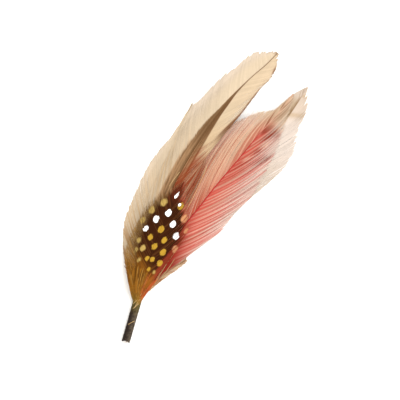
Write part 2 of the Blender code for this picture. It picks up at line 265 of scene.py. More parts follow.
SPOTTED = Feather(
    node="spotted_feather",
    slot="spotted_vane",
    layer=6,
    quill_side=0.36,
    shaft={10: -1.8, 18: -3.2, 26: -4.2, 37: -4.8, 51.5: -5.0},
    left=(
        (4, -3.6, 9.5), (8, -8.8, 15.6), (13, -12.6, 21.8), (19, -14.6, 29.6), (26, -14.6, 36.6),
        (33, -12.6, 42.2), (39, -9.6, 46.2), (45, -7.2, 50), (51.2, -5.3, 51.9),
    ),
    right=(
        (4, 1.8, 9.5), (6, 3.5, 17), (9, 4.8, 25), (13, 5.7, 32), (18, 4.9, 37.8), (24, 2.8, 41.6),
        (32, -0.3, 45.8), (41, -3.1, 49.4), (51.2, -4.7, 51.9),
    ),
    left_vane=Vane(
        spacing=0.17, lock=1.1, fine=0.4, pinch=0.2, notch=1.6, lift=0.03, droop=0.5,
        fringe=2.6, stray=0.06, thin_out=0.55,
    ),
    right_vane=Vane(
        spacing=0.17, lock=1.1, fine=0.4, pinch=0.2, notch=1.6, lift=0.03, droop=0.5,
        fringe=1.8, stray=0.04, thin_out=0.4,
    ),
    rings=24,
    seed=11,
)
GOLD = Feather(
    node="gold_feather",
    slot="gold_vane",
    layer=5,
    quill_side=-0.36,
    shaft={8: -2.4, 14: -4.4, 25: -7.0, 44: -8.6},
    left=(
        (3, -3.6, 3.6), (4.2, -6.6, 5.8), (5.5, -10.2, 9.4), (8, -13, 14), (13, -14.8, 21),
        (19, -14.8, 28.5), (27, -13.2, 36), (36, -10.6, 42), (43.8, -8.8, 44.6),
    ),
    right=(
        (3, 0.2, 7.4), (9, 0.6, 17), (18, -0.6, 28), (28, -3.2, 37), (37, -6.4, 42.6), (43.8, -8.4, 44.6),
    ),
    left_vane=Vane(
        spacing=0.14, cover=1.5, lock=0.9, pinch=0.12, notch=0.8, fringe=0.6, curl=0.2, stray=0.05,
    ),
    right_vane=Vane(spacing=0.18, cover=1.5, lock=0.9, pinch=0.12, fringe=0.6, curl=0.2),
    seed=13,
)
SMALL = Feather(
    node="small_barred_feather",
    slot="brown_barred_vane",
    layer=0,
    quill_side=0.36,
    shaft={8: 2.0, 14: 4.3, 19: 6.9, 24: 10.0},
    left=(
        (4, 0.4, 8), (9, 1.4, 15), (14, 3.8, 21), (19, 7, 24.4), (23.8, 9.6, 25),
    ),
    right=(
        (3, 2.3, 5.4), (6, 3.7, 9), (9, 4.9, 11.8), (12.5, 7, 15.8), (16.5, 9, 19.3), (20.5, 10.4, 22.2),
        (23.8, 10.9, 24.4),
    ),
    left_vane=Vane(spacing=0.16, lock=1.0, pinch=0.10, fringe=0.6),
    right_vane=Vane(spacing=0.16, lock=1.0, pinch=0.10, notch=1.0, fringe=0.9),
    seed=17,
)


def linear(code):
    """Turns an sRGB hex code into the linear colour that Blender's sockets take."""
    parts = [int(code[i:i + 2], 16) / 255 for i in (1, 3, 5)]
    return [c / 12.92 if c <= 0.04045 else ((c + 0.055) / 1.055) ** 2.4 for c in parts]


def colour_setting(name, code, description):
    return FloatVectorProperty(
        name=name, description=description, default=linear(code), size=3, min=0, max=1, subtype="COLOR"
    )


def length_setting(name, millimetres, description):
    return FloatProperty(
        name=name, description=description, default=millimetres * MM, min=0, precision=5, unit="LENGTH"
    )


class BarbSettings(bpy.types.PropertyGroup):
    thickness: length_setting("Barb thickness", 0.05, "Height of a barb at its root")
    narrowest: length_setting("Narrowest barb", 0.10, "Least width of a barb before its tip")
    widest: length_setting("Widest barb", 0.60, "Greatest width of a barb")
    root: length_setting("Barb root", 0.25, "Length over which a barb widens from the shaft")
    tip: length_setting("Barb tip", 0.9, "Length over which a barb tapers to its point")
    stray: length_setting("Stray barb", 0.18, "Width of a single barb that has come away")
    bow: FloatProperty(
        name="Bow",
        description="How far a barb bows out from its chord",
        default=math.radians(9),
        subtype="ANGLE",
    )


class CreamSettings(bpy.types.PropertyGroup):
    vane: colour_setting("Vane", "#EED9BC", "Warm cream of the barbs")
    low: colour_setting("Low vane", "#E4C59D", "Tan of the barbs nearer to the stem")
    rim: colour_setting("Rim", "#F1DEC9", "Paler, pinker cream near the outline")
    stripe: colour_setting("Stripe", "#74502F", "Brown of the stripe right of the shaft")
    stripe_side: colour_setting("Left of the stripe", "#7F5D3C", "Greyer brown left of the shaft")
    worn: colour_setting("Worn stripe", "#D3A67A", "Tan of the lines in which the stripe fades out")
    russet: colour_setting("Russet", "#A23C18", "Red brown of the loose barbs at the right")
    # edge also carries painted shade along the cream feather's curled right edge.
    edge: colour_setting("Edge", "#85502B", "Brown of the barbs' ends, and painted shade along the curled edge")
    shaft: colour_setting("Shaft", "#7E5833", "Brown of the shaft")
    base: colour_setting("Base", "#A9732E", "Golden brown near the stem")


class RedSettings(bpy.types.PropertyGroup):
    salmon: colour_setting("Left vane", "#EDC6A8", "Salmon of the left vane")
    # low is also painted along the cream feather's shadow, to offset its grey.
    low: colour_setting("Low left vane", "#DC9C7C", "Deeper salmon nearer to the stem")
    pink: colour_setting("Right vane", "#F0AB98", "Pink of the right vane")
    rim: colour_setting("Rim", "#F7E0D3", "Cream that the dye leaves at the outline")
    blush: colour_setting("Blush", "#D96957", "Stronger red beside the shaft")
    # streak is partly painted shade in the partings between the locks.
    streak: colour_setting("Lines", "#CE5144", "Red of the lines between the locks")
    vein: colour_setting("Veins", "#CF8265", "Deeper lines between the barbs")
    wine: colour_setting("Wine", "#C2482E", "Red brown of the left vane near the stem")
    bar: colour_setting("Bars", "#963420", "Red brown bars near the tip")
    deep: colour_setting("Deep", "#A12410", "Deep red near the stem")
    pale: colour_setting("Pale barbs", "#F3CDB4", "Pale barbs that took little dye")
    tan: colour_setting("Tip", "#E0C5A5", "Tan of the tip")
    brown: colour_setting("Brown barbs", "#8E6A48", "Brown barbs of the tip")
    shaft: colour_setting("Shaft", "#CC3A36", "Bright red of the shaft")


class BarredSettings(bpy.types.PropertyGroup):
    ivory: colour_setting("Ivory vane", "#F4E4D8", "Ivory of the pale feather")
    faint_bar: colour_setting("Faint bars", "#D4B896", "Grey brown of the pale feather's bars")
    brown: colour_setting("Brown barbs", "#9A7850", "Brown barbs beside the pale feather's shaft")
    edge: colour_setting("Edge", "#C9A581", "Tan of the ends of the barbs")
    pale_shaft: colour_setting("Pale shaft", "#A9875F", "Tan of the pale feather's shaft")
    beige: colour_setting("Beige vane", "#E2BB92", "Beige of the small feather")
    brown_bar: colour_setting("Brown bars", "#A0603C", "Brown of the small feather's bars")
    pale_barb: colour_setting("Pale barbs", "#F0DCC4", "Pale barbs of the small feather")
    brown_shaft: colour_setting("Brown shaft", "#B97C55", "Light brown of the small feather's shaft")


class SpottedSettings(bpy.types.PropertyGroup):
    dark: colour_setting("Vane", "#441E04", "Dark brown of the vane")
    streak: colour_setting("Lighter barbs", "#6E4420", "Brown of the lighter barbs")
    soft: colour_setting("Soft barbs", "#8E6A3C", "Lighter brown of the loose barbs at the left")
    straw: colour_setting("Straw", "#C6A273", "Tan of the palest loose barbs at the left")
    rust: colour_setting("Rust", "#9E4129", "Red brown of the barbs at the right and at the tip")
    flush: colour_setting("Flush", "#CF7A5E", "Lighter red of the barbs' ends at the upper right")
    gilt: colour_setting("Gilt", "#A8691A", "Golden brown near the stem")
    white: colour_setting("White dots", "#FFFFFF", "White of the dots")
    gold: colour_setting("Gold dots", "#A8842B", "Gold of the dyed dots")
    tan: colour_setting("Tan dots", "#AA8F50", "Tan of the dots at the left")
    peach: colour_setting("Peach dots", "#B7835B", "Peach of the dots at the right")


class GoldSettings(bpy.types.PropertyGroup):
    vane: colour_setting("Vane", "#AC701C", "Gold brown of the dyed barbs")
    rim: colour_setting("Rim", "#CDA873", "Tan at the outline")
    soft: colour_setting("Soft barbs", "#9A7646", "Grey brown of the barbs' upper parts")
    orange: colour_setting("Orange", "#DC6C36", "Orange of the down at the right")
    olive: colour_setting("Olive", "#9A7A2E", "Olive gold of the down on the tape")
    tufts: IntProperty(name="Tufts", description="Strands of down at the base", default=520, min=0)
    shade: colour_setting("Shade", "#7A4D14", "Brown between the locks")
    pale: colour_setting("Pale barbs", "#D2A95C", "Pale barbs that took little dye")


class StemSettings(bpy.types.PropertyGroup):
    tape: colour_setting("Tape", "#30271F", "Charcoal of the waxed tape")
    # Painted shade: the dark brown of the tape's shaded left side.
    dark: colour_setting("Shaded tape side", "#1C1008", "Dark brown painted as shade on the tape's left side")
    worn: colour_setting("Worn tape", "#54493B", "Grey tan of the worn crepe")
    stain: colour_setting("Stain", "#524618", "Olive gold that has run from the dyed feathers")
    fibre: colour_setting("Stray barb", "#EBC48C", "Pale brown of the stray barbs")


class StageSettings(bpy.types.PropertyGroup):
    floor: colour_setting("Floor", "#FEFEFE", "White of the floor")
    picture_width: length_setting("Picture width", 160.0, "Width of the picture at the feathers")
    turn: FloatProperty(
        name="Camera turn",
        description="Turn of the camera about the vertical",
        default=math.radians(27),
        subtype="ANGLE",
    )
    key: FloatProperty(name="Key light", description="Power of the soft light", default=4.37, unit="POWER")
    room: colour_setting("Room", "#FFFBF4", "Warm white of the even light")
    fill: FloatProperty(name="Fill", description="Strength of the even light", default=1.373)


def through(xs, ys, at):
    """A smooth curve through the points, read at one position or at many."""
    xs, ys = np.array(xs, float), np.array(ys, float)
    slopes = np.gradient(ys, xs)
    at = np.clip(at, xs[0], xs[-1])
    i = np.clip(np.searchsorted(xs, at, side="right") - 1, 0, len(xs) - 2)
    step = xs[i + 1] - xs[i]
    t = (at - xs[i]) / step
    return (
        ys[i] * (1 + 2 * t) * (1 - t) ** 2
        + slopes[i] * step * t * (1 - t) ** 2
        + ys[i + 1] * t * t * (3 - 2 * t)
        + slopes[i + 1] * step * t * t * (t - 1)
    )


def along(knots, at):
    """The smooth curve through knots {position: value}."""
    places = sorted(knots)
    return through(places, [knots[place] for place in places], at)


def ease(low, high, at):
    """0 below low, 1 above high, and a smooth rise between them."""
    t = np.clip((at - low) / (high - low), 0, 1)
    return t * t * (3 - 2 * t)


def stem_share(y):
    """0 at the stem's cut end and 1 at its mouth."""
    return (y - STEM_END[1]) / (STEM_MOUTH[1] - STEM_END[1])


def stem_x(y):
    return STEM_END[0] + stem_share(y) * (STEM_MOUTH[0] - STEM_END[0])


def stem_height(y):
    """Height of the stem's middle, which lies on the floor on one of its flat sides."""
    radius = STEM_END_RADIUS + stem_share(y) * (STEM_MOUTH_RADIUS - STEM_END_RADIUS)
    return radius * math.cos(math.pi / STEM_SIDES)


def lowest_layer(x, y):
    """The arched surface of the lowest feather: high in the middle, flat at both edges."""
    across = (x - along(MIDDLE, y)) / along(HALF_WIDTH, y)
    return np.maximum(along(ARCH, y) * (1 - EDGE_DROP * across * across), EDGE_HEIGHT)


def feathers_below(layer, x, y):
    """How many feathers a feather lies on here."""
    over_small, over_pale, over_red, over_side = (
        1 - ease(*off, y) for off in (OFF_SMALL, OFF_PALE, OFF_RED, OFF_SIDE)
    )
    inboard = ease(*INBOARD, x)
    below = [0.0, over_small, over_small * inboard + over_pale]
    below.append((over_small + over_pale + over_red) * inboard)
    below.append(below[3] + over_side)
    below.append(below[4] + 1)
    below.append(below[5] + 1)
    return below[layer]


def height(layer, x, y):
    """Height of a feather's middle surface. The feathers fan out from the stem's mouth."""
    away = np.hypot(x - STEM_MOUTH[0], y - STEM_MOUTH[1])
    fanned = np.where(y < STEM_MOUTH[1], 0.0, ease(0, FAN_OUT, away))
    in_mouth = stem_height(np.minimum(y, STEM_MOUTH[1])) + MOUTH_PITCH * (layer - TOP_LAYER / 2)
    laid = lowest_layer(x, y) + LAYER_PITCH * feathers_below(layer, x, y)
    return in_mouth + fanned * (laid - in_mouth)


def shaft_x(feather, y):
    """Where the quill and shaft are: with the others in the stem, and on its own beyond the mouth."""
    knots = {at: stem_x(at) for at in (STEM_END[1], BEFORE_MOUTH, STEM_MOUTH[1])}
    return along(knots | feather.shaft, y) + feather.quill_side * (1 - ease(STEM_MOUTH[1], OWN_WAY_FROM, y))


def shaft_radius(feather, y):
    return TIP_RADIUS + (QUILL_RADIUS - TIP_RADIUS) * (1 - ease(TAPER_FROM, max(feather.shaft), y))


# How far the width of a lock may be from the one that is asked for.
LOCK_SPREAD = (0.55, 1.45)
# How far a vane's outline takes to come free, and how far from its tip it is closed again.
FREE_OVER = 4.0
CLOSED_TIP = 3.0
# The least part of a barb that shows, and the greatest parts that its tip and its root take.
LEAST_SHOWN = 0.35
MOST_TIP = 0.3
MOST_ROOT = 0.1
# How much the direction of a barb varies, in radians, for a loose barb and for one in its lock.
LOOSE_SWING = 0.03
SWING = 0.004
# How far a barb's height varies, how far a loose one stands up, and the length of one wave of a curled one.
UNEVEN = 0.008
LOOSE_RISE = 0.10
WAVE = 5.0


def lock_edges(first, last, size, draw):
    """Where the locks of a vane part, counted across its barbs."""
    edges = [first]
    while edges[-1] < last:
        edges.append(edges[-1] + size * draw.uniform(*LOCK_SPREAD))
    return np.array(edges)


def turned(reach, angle):
    """Plan vectors turned by an angle, or each by its own."""
    c, s = np.cos(angle), np.sin(angle)
    return np.stack([reach[..., 0] * c - reach[..., 1] * s, reach[..., 0] * s + reach[..., 1] * c], axis=-1)


def barb_paths(root, end, bow, share):
    """Points at each share of the curves that leave root, bow out and reach end."""
    bowed = root + turned((end - root) / 2, bow)
    t = share[:, :, None]
    return root[:, None] * (1 - t) ** 2 + bowed[:, None] * 2 * t * (1 - t) + end[:, None] * t * t


def grow_vane(feather, side, settings, draw):
    """The barbs of one vane: their paths, widths, and what the material needs to know of each point."""
    rows, vane = (feather.left, feather.left_vane) if side < 0 else (feather.right, feather.right_vane)
    roots, end_xs, end_ys = zip(*rows)
    first, last = roots[0], roots[-1]
    root_y = np.arange(first, last, vane.spacing)
    count = len(root_y)
    root = np.column_stack([shaft_x(feather, root_y), root_y])
    end = np.column_stack([through(roots, end_xs, root_y), through(roots, end_ys, root_y)])
    length = np.linalg.norm(end - root, axis=1)
    # Plain barbs first. The gap between them gives how wide each has to be.
    bow = -side * settings.bow * vane.bow
    even = np.tile(np.linspace(0, 1, feather.rings + 1), (count, 1))
    plain = barb_paths(root, end, bow, even)
    run = np.gradient(plain, axis=1)
    normal = np.stack([-run[:, :, 1], run[:, :, 0]], axis=2)
    normal /= np.maximum(np.linalg.norm(normal, axis=2, keepdims=True), 1e-9)
    gap = np.abs(np.sum(np.gradient(plain, axis=0) * normal, axis=2))
    width = np.clip(gap * vane.cover, settings.narrowest / MM, settings.widest / MM)
    width *= 1 - vane.thin_out * ease(0.35, 1.0, even)

    # Which lock and which group of one tone each barb is in, and how far across its lock it is.
    passed = np.cumsum(gap[:, feather.rings // 2])
    edges = lock_edges(0, passed[-1], vane.lock, draw)
    lock = np.clip(np.searchsorted(edges, passed, side="right") - 1, 0, len(edges) - 2)
    across = (passed - edges[lock]) / (edges[lock + 1] - edges[lock])
    tones = draw.uniform(0, 1, (3, len(edges)))[:, lock]
    fine_edges = lock_edges(0, passed[-1], vane.fine, draw)
    fine = draw.uniform(0, 1, len(fine_edges))[np.searchsorted(fine_edges, passed, side="right") - 1]
    strand = draw.uniform(0, 1, count)
    loose = draw.uniform(0, 1, count) < vane.stray

    # A lock's ends are drawn together and cut to a tooth, and each barb is turned a little.
    middle = np.interp((edges[lock] + edges[lock + 1]) / 2, passed, root_y)
    lock_end = np.column_stack([through(roots, end_xs, middle), through(roots, end_ys, middle)])
    pinch = vane.pinch * (0.4 + 1.2 * tones[1])
    end = end + (lock_end - end) * pinch[:, None]
    free = ease(vane.free_from, vane.free_from + FREE_OVER, root_y)
    free = free * (1 - ease(last - CLOSED_TIP, last, root_y))
    shorter = free * vane.notch * (1 - across) ** 1.5 * (0.1 + 1.6 * tones[2]) + vane.fringe * strand ** 3
    shown = np.clip(1 - shorter / np.maximum(length, 1.0), LEAST_SHOWN, 1)
    swing = np.where(loose, draw.normal(0, LOOSE_SWING, count), draw.normal(0, SWING, count))
    end = root + turned(end - root, swing)
    tip = np.minimum(settings.tip / MM / np.maximum(length * shown, 1.0), MOST_TIP)[:, None]
    start = np.minimum(settings.root / MM / np.maximum(length * shown, 1.0), MOST_ROOT)[:, None]
    share = np.linspace(0, 1, feather.rings - 1)[None, :] ** 1.2 * (1 - tip - start) + start
    share = np.hstack([np.zeros((count, 1)), share, np.ones((count, 1))]) * shown[:, None]
    flat = barb_paths(root, end, bow, share)
    if vane.curl:
        phase = draw.uniform(0, 2 * math.pi, count)[:, None]
        reach = length[:, None] * share
        sway = vane.curl * share * np.sin(reach * 2 * math.pi / WAVE + phase)
        flat = flat + normal * sway[:, :, None]

    # Each lock is tilted, so that it laps over the next one, and the barbs' ends hang down.
    z = height(feather.layer, flat[:, :, 0], flat[:, :, 1])
    shingle = vane.lift * (across - 0.5)[:, None] * ease(0.1, 0.7, share)
    jitter = draw.normal(0, UNEVEN, count)[:, None] + np.where(loose, LOOSE_RISE, 0.0)[:, None] * share
    z = np.maximum(z + shingle + jitter - vane.droop * ease(0.4, 1.0, share), settings.thickness / MM)
    spread = np.ones_like(share)
    outline = np.interp(flat[:, :, 1], end_ys, end_xs)
    known = {
        "inside": side * (outline - flat[:, :, 0]),
        "strand": strand[:, None] * spread,
        "lock": tones[0][:, None] * spread,
        "fine": fine[:, None] * spread,
        "across": across[:, None] * spread,
        "share": share,
        "to_end": (shown[:, None] - share) * length[:, None],
        "side": side * spread,
    }
    return np.dstack([flat, z]), width, known


def rod_faces(rings, sides):
    """Triangles at both ends and quads between them, for a point, rings of corners, and a point."""
    last = rings * sides + 1
    tris, quads = [], []
    for j in range(sides):
        k = (j + 1) % sides
        tris += [(0, 1 + j, 1 + k), (last, last - sides + k, last - sides + j)]
    for a in range(1, last - sides, sides):
        for j in range(sides):
            k = (j + 1) % sides
            quads.append((a + j, a + sides + j, a + sides + k, a + k))
    return tris, quads


def strip_mesh(path, width, thickness):
    """Closed strips along the paths: a point, rings of four corners, and a point."""
    count, rings = path.shape[:2]
    run = np.gradient(path, axis=1)
    across = np.stack([-run[:, :, 1], run[:, :, 0], np.zeros((count, rings))], axis=2)
    across /= np.maximum(np.linalg.norm(across, axis=2, keepdims=True), 1e-9)
    half = across * width[:, :, None] / 2
    up = np.zeros((count, rings, 3))
    up[:, :, 2] = thickness / 2
    corners = np.stack([path - half, path + up, path + half, path - up], axis=2)
    inner = corners[:, 1:-1].reshape(count, -1, 3)
    points = np.concatenate([path[:, :1], inner, path[:, -1:]], axis=1)
    tris, quads = rod_faces(rings - 2, 4)
    start = np.arange(count)[:, None, None] * points.shape[1]
    tris = (np.array(tris)[None] + start).reshape(-1, 3)
    quads = (np.array(quads)[None] + start).reshape(-1, 4)
    return points.reshape(-1, 3), tris, quads


def per_point(values):
    """Spreads a value for each ring over the ring's corners, in the order of strip_mesh's points."""
    inner = np.repeat(values[:, 1:-1], 4, axis=1)
    return np.concatenate([values[:, :1], inner, values[:, -1:]], axis=1).reshape(-1)


def grow_feather(feather, masks, material):
    """Makes a feather's piece: the barbs of both vanes and the shaft in one mesh with its attributes."""
    settings = bpy.context.scene.feather_barbs
    draw = np.random.default_rng(feather.seed)
    parts = []
    for side in (-1, 1):
        path, width, known = grow_vane(feather, side, settings, draw)
        points, tris, quads = strip_mesh(path, width, settings.thickness / MM)
        known = {key: per_point(values) for key, values in known.items()}
        known["shaft"] = np.zeros(len(points))
        parts.append((points, tris, quads, known))
    parts.append(shaft_part(feather))
    points, faces, known = join_parts(parts)
    offset = points[:, 0] - shaft_x(feather, np.clip(points[:, 1], 0, max(feather.shaft)))
    of_lock, of_fine, of_strand = feather.tones
    tone = of_lock * known["lock"] + of_fine * known["fine"] + of_strand * known["strand"]
    stored = {"shaft": known["shaft"], "tone": tone}
    stored |= masks(points[:, 0], points[:, 1], offset, known)
    piece = mesh_object(feather.node + "_barbs", points, faces, stored)
    piece.data.materials.append(material)
    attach(piece, BODY)
    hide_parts(feather.node)


def shaft_part(feather, sides=8):
    """The quill and shaft as a tapered round rod, closed by a point at both ends."""
    top = max(feather.shaft)
    ys = np.concatenate([[STEM_END[1] + QUILL_SET_BACK], np.linspace(-14, 0, 6), np.linspace(1, top, 60)])
    centre = np.column_stack([shaft_x(feather, ys), ys])
    past_mouth = ease(STEM_MOUTH[1], OWN_WAY_FROM, ys)
    z = height(feather.layer, centre[:, 0], centre[:, 1]) + SHAFT_PROUD * past_mouth
    run = np.gradient(centre, axis=0)
    across = np.column_stack([-run[:, 1], run[:, 0]])
    across /= np.linalg.norm(across, axis=1, keepdims=True)
    radius = shaft_radius(feather, ys) * (1 + SHAFT_BROADER * past_mouth)
    turn = np.arange(sides) * 2 * math.pi / sides
    rings = []
    for c, h, n, r in zip(centre, z, across, radius):
        flat = c[None] + n[None] * (r * np.cos(turn))[:, None]
        up = np.maximum(h + r * np.sin(turn), 0.0)
        rings.append(np.column_stack([flat, up]))
    points = np.vstack([[[*centre[0], z[0]]], *rings, [[*centre[-1], z[-1]]]])
    # These rings turn the other way round than a barb's, so the faces are turned over.
    tris, quads = ([(face[0], *face[:0:-1]) for face in faces] for faces in rod_faces(len(rings), sides))
    none = np.zeros(len(points))
    known = {key: none + 0.5 for key in ("strand", "lock", "fine", "across")}
    known |= {"share": none, "side": none, "shaft": none + 1, "to_end": none + 9, "inside": none + 9}
    return points, np.array(tris), np.array(quads), known


def join_parts(parts):
    """Joins parts of (points, triangles, quads, known values) in one list of each."""
    points, faces, known = [], [], {key: [] for key in parts[0][3]}
    start = 0
    for part_points, tris, quads, part_known in parts:
        points.append(part_points)
        faces += (tris + start).tolist() + (quads + start).tolist()
        for key, values in part_known.items():
            known[key].append(values)
        start += len(part_points)
    return np.vstack(points), faces, {key: np.concatenate(values) for key, values in known.items()}


# How much of the map a feather's upper side takes, how far its underside is moved beside it, and the margin.
MAP_SIZE = (0.48, 0.98)
MAP_STEP = 0.5
MAP_MARGIN = 0.01


def mesh_object(name, points, faces, stored):
    """A mesh from points in the plan, with its attributes and a map that unfolds top and underside."""
    mesh = bpy.data.meshes.new(name)
    placed = points.copy()
    placed[:, :2] += PLAN_SHIFT
    mesh.from_pydata((placed * MM).tolist(), [], faces)
    for key, values in stored.items():
        clipped = np.clip(values, 0, 1).astype(np.float32)
        mesh.attributes.new(key, "FLOAT", "POINT").data.foreach_set("value", clipped)
    corner_point = np.empty(len(mesh.loops), np.int32)
    mesh.loops.foreach_get("vertex_index", corner_point)
    low, high = points[:, :2].min(axis=0), points[:, :2].max(axis=0)
    flat = (points[:, :2] - low) / (high - low)
    normals = np.empty(len(mesh.polygons) * 3)
    mesh.polygons.foreach_get("normal", normals)
    sizes = np.empty(len(mesh.polygons), np.int32)
    mesh.polygons.foreach_get("loop_total", sizes)
    below = np.repeat(normals.reshape(-1, 3)[:, 2] < 0, sizes)
    sheet = flat[corner_point] * MAP_SIZE + MAP_MARGIN
    sheet[:, 0] += np.where(below, MAP_STEP, 0.0)
    mesh.uv_layers.new(name="OFBake").data.foreach_set("uv", sheet.astype(np.float32).ravel())
    piece = bpy.data.objects.new(name, mesh)
    bpy.context.scene.collection.objects.link(piece)
    return piece


def add(tree, kind, inputs=None, **settings):
    """Adds a node: its properties, and its inputs as values or other nodes' outputs."""
    made = tree.nodes.new("ShaderNode" + kind)
    for name, value in settings.items():
        setattr(made, name, value)
    for key, value in (inputs or {}).items():
        if isinstance(value, bpy.types.NodeSocket):
            tree.links.new(value, made.inputs[key])
        elif made.inputs[key].type == "RGBA":
            made.inputs[key].default_value = (*value, 1)
        else:
            made.inputs[key].default_value = value
    return made


def new_material(name, roughness):
    """An empty Principled material and its node tree."""
    material = bpy.data.materials.new(name)
    material.use_nodes = True
    tree = material.node_tree
    shader = tree.nodes["Principled BSDF"]
    shader.inputs["Roughness"].default_value = roughness
    return material, tree, shader


# Barbs reflect a little less than the white paper under them, which the lights expose to pure white.
BARB_VALUE = 0.571
BARB_IOR = 1.54


def tints_from(settings, names):
    """Pairs of mask and colour, for masks that are named like the colours in the settings."""
    return [(name, getattr(settings, name)) for name in names.split()]


def barb_material(name, base, tints, grain=0.10, sheen=0.03, gloss=0.08, crisp=()):
    """Keratin barbs: matt, with a faint silky sheen, and no two barbs of quite the same tone.

    tints is a list of (mask attribute, colour), laid over the base colour in that order. A mask named in
    crisp is a slope across its outline, which the material turns into a clear edge.
    """
    material, tree, shader = new_material(name, 0.7)
    shader.inputs["IOR"].default_value = BARB_IOR
    shader.inputs["Sheen Weight"].default_value = sheen
    shader.inputs["Sheen Roughness"].default_value = 0.4
    shader.inputs["Specular IOR Level"].default_value = gloss
    colour = base
    for mask, tint in tints:
        share = add(tree, "Attribute", attribute_name=mask).outputs["Fac"]
        if mask in crisp:
            # The slope turns over in a narrow band about its half.
            inside = {"Value": share, "From Min": 0.43, "From Max": 0.57}
            share = add(tree, "MapRange", inside, interpolation_type="SMOOTHSTEP").outputs[0]
        colour = add(tree, "Mix", {0: share, 6: colour, 7: tint}, data_type="RGBA").outputs[2]
    place = add(tree, "TexCoord").outputs["Object"]
    # Soft clouds of tone about 4 mm wide, as where the down shows through the vane.
    cloud = add(tree, "TexNoise", {"Vector": place, "Scale": 1 / (4 * MM), "Detail": 3.0})
    tone = add(tree, "Attribute", attribute_name="tone").outputs["Fac"]
    both = add(tree, "Math", {0: cloud.outputs["Fac"], 1: 0.5, 2: tone}, operation="MULTIPLY_ADD")
    # Fine mottling of the barbules, drawn coarser than it is, about 0.35 mm wide.
    mottle = add(tree, "TexNoise", {"Vector": place, "Scale": 1 / (0.35 * MM), "Detail": 1.0})
    both = {0: mottle.outputs["Fac"], 1: 0.6, 2: both.outputs[0]}
    both = add(tree, "Math", both, operation="MULTIPLY_ADD")
    value = {"Value": both.outputs[0], "From Min": 0.7, "From Max": 1.4}
    value |= {"To Min": BARB_VALUE * (1 - grain), "To Max": BARB_VALUE * (1 + grain)}
    value = add(tree, "MapRange", value)
    toned = add(tree, "HueSaturation", {"Value": value.outputs[0], "Color": colour})
    tree.links.new(toned.outputs[0], shader.inputs["Base Color"])
    return material, tree, shader


def lock_lines(known, width=0.22):
    """High along the edges of each lock, and higher on some locks than on others."""
    inside = np.minimum(known["across"], 1 - known["across"])
    return (1 - ease(0.3, 1.0, inside / width)) * (0.35 + 0.65 * known["lock"])


def highest(*masks):
    """The strongest of several masks at each point."""
    return np.maximum.reduce(np.broadcast_arrays(*masks))


def some(values, share, soft=0.06):
    """1 on the given share of the barbs, and 0 on the rest."""
    return ease(1 - share - soft, 1 - share + soft, values)


# In the masks, numbers beside x, y, offset, inside and to_end are millimetres, and the others are shares.
# How far the brown stripe reaches left and right of the shaft, at each y.
STRIPE_LEFT = {
    40: 3.6, 48: 3.6, 58: 3.4, 65: 3.0, 70: 2.7, 75: 2.5, 79: 2.0, 83: 1.3, 88: 0.75, 95: 0.3, 101: 0.1,
}
STRIPE_RIGHT = {40: 3.0, 62: 2.4, 69: 2.1, 76: 1.6, 82: 1.1, 87: 0.9, 92: 0.45, 97: 0.25, 101: 0.1}


def cream_masks(x, y, offset, known):
    """The stripe beside the shaft, the loose russet barbs at its right, and the thin brown outline, partly
    painted shade.
    """
    left = known["side"] < 0
    right = known["side"] > 0
    strand, fine = known["strand"], known["fine"]
    ragged = 0.92 + 0.16 * strand
    across_left = -offset / (along(STRIPE_LEFT, y) * ragged)
    across_right = offset / along(STRIPE_RIGHT, y)
    # Wavering lines 0.8 mm apart beside the shaft, along which the stripe wears thin.
    parallel = 0.5 + 0.5 * np.sin(8.0 * offset + 2.0 * np.sin(2.9 * offset + 0.05 * y))
    low = 1 - ease(58, 76, y)
    loose = right * (1 - ease(60, 70, y + 7 * (fine - 0.5)))
    lines = 1 - 0.65 * some(1 - strand, 0.14)
    # The brown band along the right edge: brown barb ends, with painted shade where the vane's edge curls
    # under.
    band = 0.75 + 0.7 * (1 - ease(76, 88, y)) + 0.4 * (strand - 0.5)
    curled = right * (1 - ease(0.5, 1.0, known["inside"] / band))
    curled = curled * ease(66, 80, y) * (0.9 - 0.45 * ease(96, 101, y))
    across = np.maximum(across_left, across_right)
    tip_patch = 0.5 * blotch(x, y, (4.6, 114.4), (1.0, 1.4), 20)
    tip_patch = tip_patch + right * blotch(x, y, (7.4, 106.5), (1.0, 3.4), -8)
    over_stripe = (1 - ease(1.0, 2.6, offset)) * ease(50, 60, y)
    fringe = (1 - ease(0.3, 1.0, known["to_end"])) * ease(82, 88, y) * 0.3
    return {
        "low": (1 - ease(50, 80, y)) * (0.2 + 0.6 * some(fine, 0.3)) * left
        + right * (0.35 + 0.5 * (1 - ease(70, 84, y))),
        "rim": ease(0.35, 0.9, known["share"]) * ease(62, 88, y) * left,
        "base": 1 - ease(8, 22, y),
        "stripe_side": left * (1 - 0.5 * across_left),
        "stripe": right * (1 - 0.5 * across_right),
        "worn": (low * (0.1 + 0.5 * parallel) + 0.18 * parallel) * (1 - ease(1.1, 1.3, across)),
        "russet": loose * (0.7 + 0.3 * fine) * lines * (1 - (0.6 + 0.3 * parallel) * over_stripe),
        "edge": highest(curled, 0.8 * tip_patch, fringe, 0.6 * loose * some(strand, 0.2)),
        "shaft": known["shaft"] * (0.8 + 0.2 * (1 - ease(84, 98, y))),
    }


def side_masks(x, y, offset, known):
    """Plain cream, tan near the stem and where its barbs pass under the feathers at its right."""
    inner = ease(-21, -14, x + 2 * (known["strand"] - 0.5)) * (1 - ease(22, 40, y))
    return {
        "low": (0.2 + 0.7 * some(known["fine"], 0.3)) * (1 - ease(30, 60, y)),
        "rim": ease(0.5, 1.0, known["share"]) * ease(20, 50, y) * 0.6,
        "base": np.maximum(1 - ease(6, 17, y), 0.55 * inner * some(known["fine"], 0.5)),
        "edge": (1 - ease(0.3, 1.0, known["to_end"])) * 0.4,
        "shaft": known["shaft"] * 0.15,
    }


